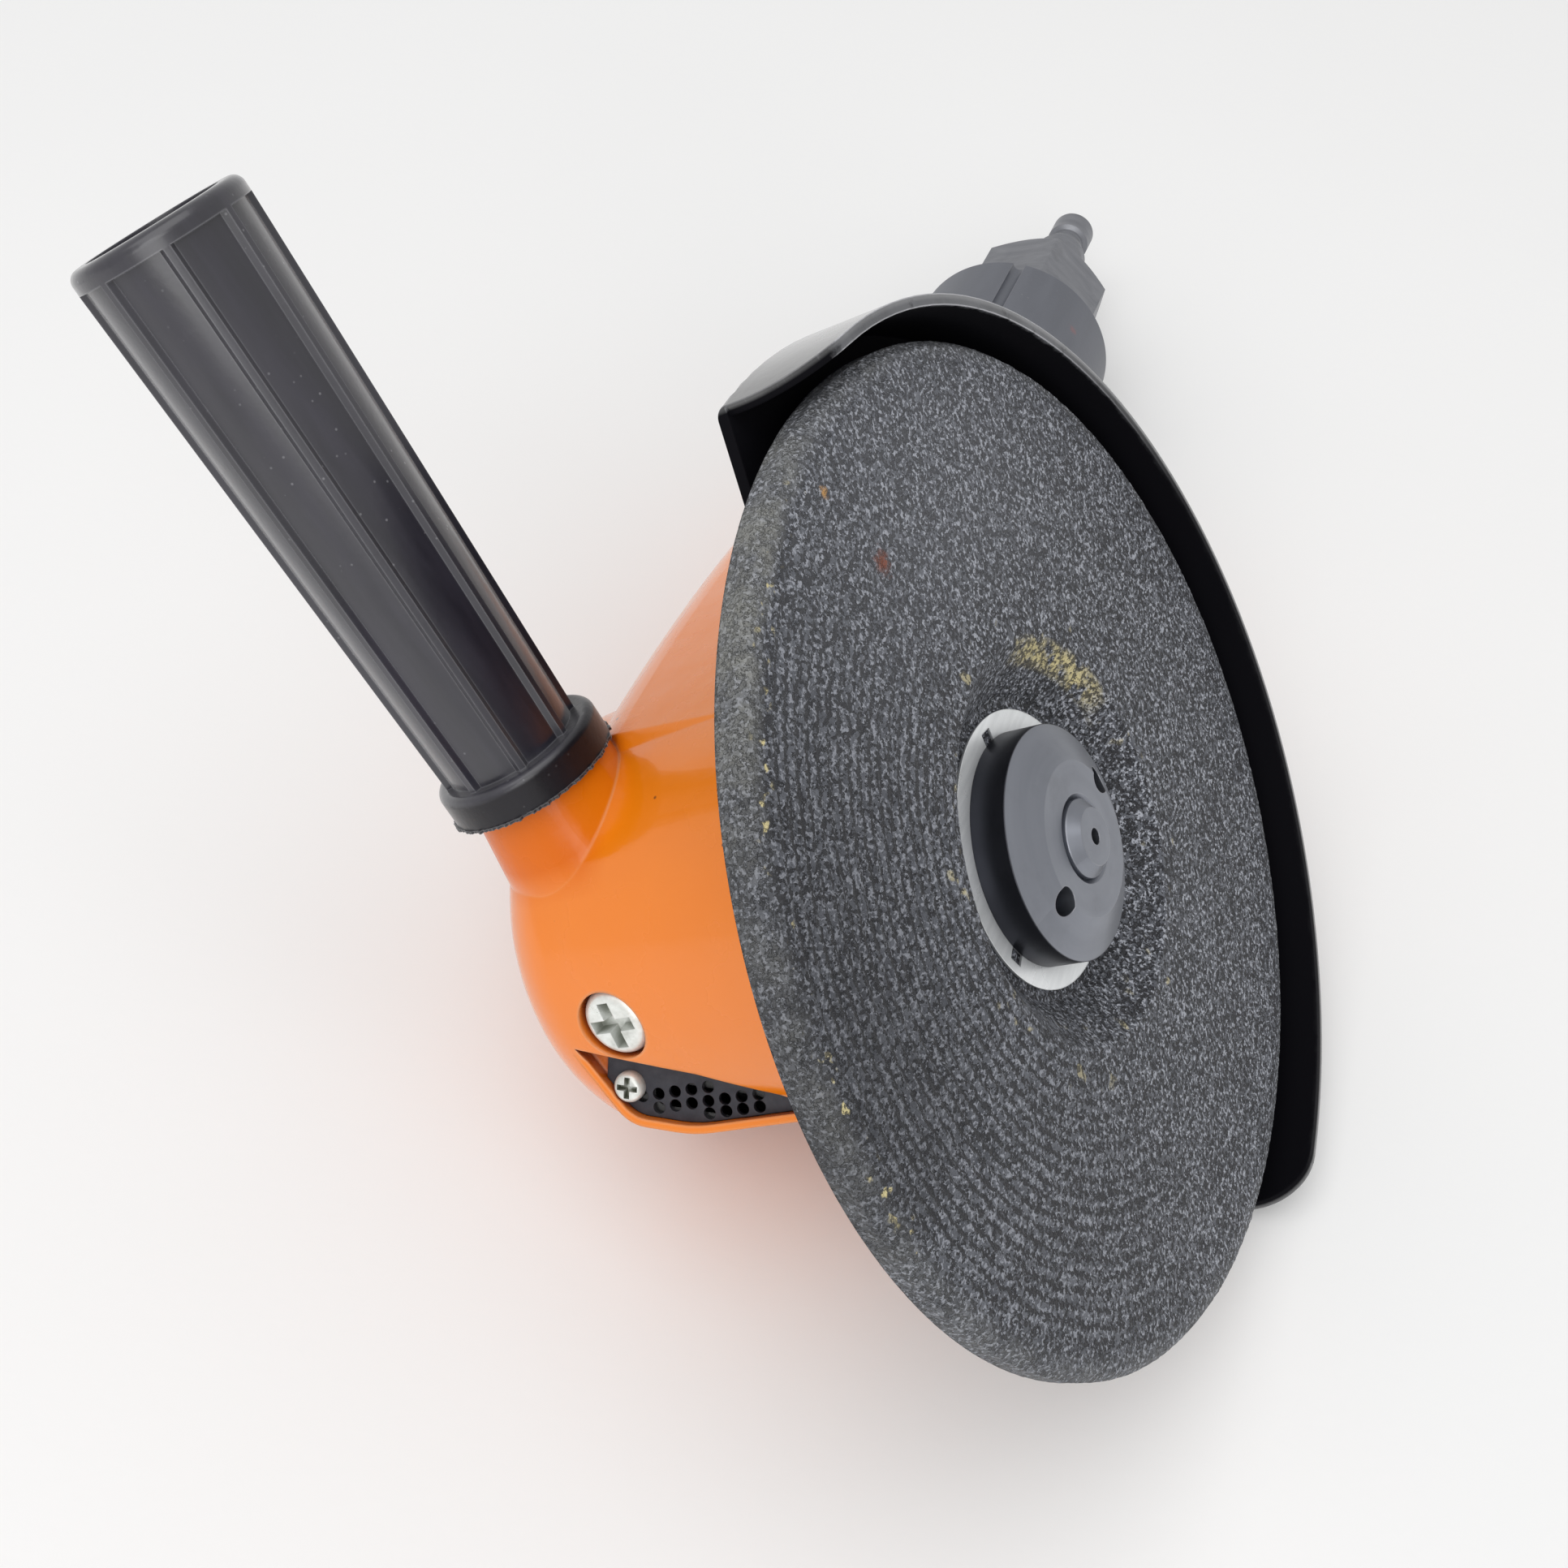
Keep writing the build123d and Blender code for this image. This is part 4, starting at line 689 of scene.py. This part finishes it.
def buildFlash(spec):
    sweep, lean = math.radians(spec["sweep"]), math.radians(spec["lean"])
    outward = Vector((math.sin(sweep) * math.cos(lean), math.cos(sweep) * math.cos(lean),
                      math.sin(lean)))
    side = Vector((math.cos(sweep), -math.sin(sweep), 0.0))
    across = outward.cross(side)
    foot = Vector(spec["foot"]) + side * spec["aside"][0] + across * spec["aside"][1]
    count, inner, scale = spec["segments"], spec["inner"], spec["ragScale"]
    top = spec["start"] + spec["thick"]
    points = []
    for index in range(count):
        angle = 2 * math.pi * index / count
        place = Vector((math.cos(angle) * scale, math.sin(angle) * scale, 0))
        rag = noise.noise(place) * 0.6 + noise.noise(place * 3.1) * 0.5
        torn = math.exp(-((math.degrees(angle) - spec["tornAt"]) / spec["tornWide"]) ** 2)
        outer = spec["outer"] + spec["ragged"] * max(0.0, 0.35 + rag)
        low = spec["start"] - spec["drop"] * (0.6 + 0.8 * max(0.0, rag))
        low -= spec["tornDeep"] * torn * (0.8 + 0.5 * rag)
        for radius, high in ((inner, low), (outer, low), (outer, top), (inner, top)):
            spoke = side * (radius * math.cos(angle)) + across * (radius * math.sin(angle))
            points.append(toolFrame @ ((foot + outward * high + spoke) * mm))
    return addPiece(spec["name"], points, ringFaces(count, 4, True))


collarFlash = buildFlash(flash)
flashPlastic = dict(grip, name="flashMoulding", tone=(0.02, 0.02, 0.022),
                    light=(0.05, 0.05, 0.055))
collarFlash.data.materials.append(plasticMaterial(flashPlastic))
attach(collarFlash, "tool")
print("flash done")

# table, light and camera
table = {
    "name": "table", "half": 4.0, "tone": (0.865, 0.865, 0.862), "warm": (0.85, 0.848, 0.845),
    "cloud": 9.0, "grain": 300.0, "bump": 0.00005, "rough": 0.6,
}
half = table["half"]
corners = [(-half, -half, 0), (half, -half, 0), (half, half, 0), (-half, half, 0)]
floor = addPiece(table["name"], corners, [(0, 1, 2, 3)])
floorMaterial, tree, shader, place = startMaterial(table["name"], True)
cloud = noiseOf(tree, place, table["cloud"], 3.0)
connect(tree, shader, Base_Color=mixTone(tree, cloud, table["tone"], table["warm"]),
        Normal=bumpOf(tree, noiseOf(tree, place, table["grain"]), table["bump"]),
        Roughness=table["rough"])
floor.data.materials.append(floorMaterial)

softSky = {"name": "softSky", "tone": (1.0, 1.0, 1.0, 1.0), "strength": 0.66}
sky = bpy.data.worlds.new(softSky["name"])
scene.world = sky
sky.use_nodes = True
skyLight = sky.node_tree.nodes["Background"]
skyLight.inputs["Color"].default_value = softSky["tone"]
skyLight.inputs["Strength"].default_value = softSky["strength"]

lamps = (
    {"name": "overhead", "place": (-0.5, 0.2, 1.9), "aim": (0.0, 0.0, 0.05),
     "size": 2.0, "power": 16.0},
    {"name": "window", "place": (-1.7, -0.5, 1.2), "aim": (-0.05, 0.0, 0.08),
     "size": 1.3, "power": 12.0},
)
for lamp in lamps:
    data = bpy.data.lights.new(lamp["name"], "AREA")
    data.shape = "SQUARE"
    data.size = lamp["size"]
    data.energy = lamp["power"]
    light = bpy.data.objects.new(lamp["name"], data)
    light.location = lamp["place"]
    way = Vector(lamp["aim"]) - Vector(lamp["place"])
    light.rotation_euler = way.to_track_quat("-Z", "Y").to_euler()
    scene.collection.objects.link(light)

view = {   # in the tool's frame, place in millimetres
    "place": (-239.52, 185.8, 160.69), "right": (0.342, -0.5025, 0.794),
    "forward": (0.6772, -0.454, -0.579), "focal": 2400.0, "pixels": 1932.0, "sensor": 36.0,
    "clip": 0.01,
}
cameraData = bpy.data.cameras.new("camera")
cameraData.sensor_width = view["sensor"]
cameraData.lens = view["focal"] / view["pixels"] * view["sensor"]
cameraData.clip_start = view["clip"]
camera = bpy.data.objects.new("camera", cameraData)
forward = Vector(view["forward"]).normalized()
right = Vector(view["right"])
right = (right - forward * right.dot(forward)).normalized()
up = right.cross(forward)
cameraTurn = toolTurn @ Matrix((right, up, -forward)).transposed()
cameraPlace = toolFrame @ (Vector(view["place"]) * mm)
camera.matrix_world = Matrix.Translation(cameraPlace) @ cameraTurn.to_4x4()
scene.collection.objects.link(camera)
scene.camera = camera
scene.view_settings.view_transform = "Standard"
print("stage done")
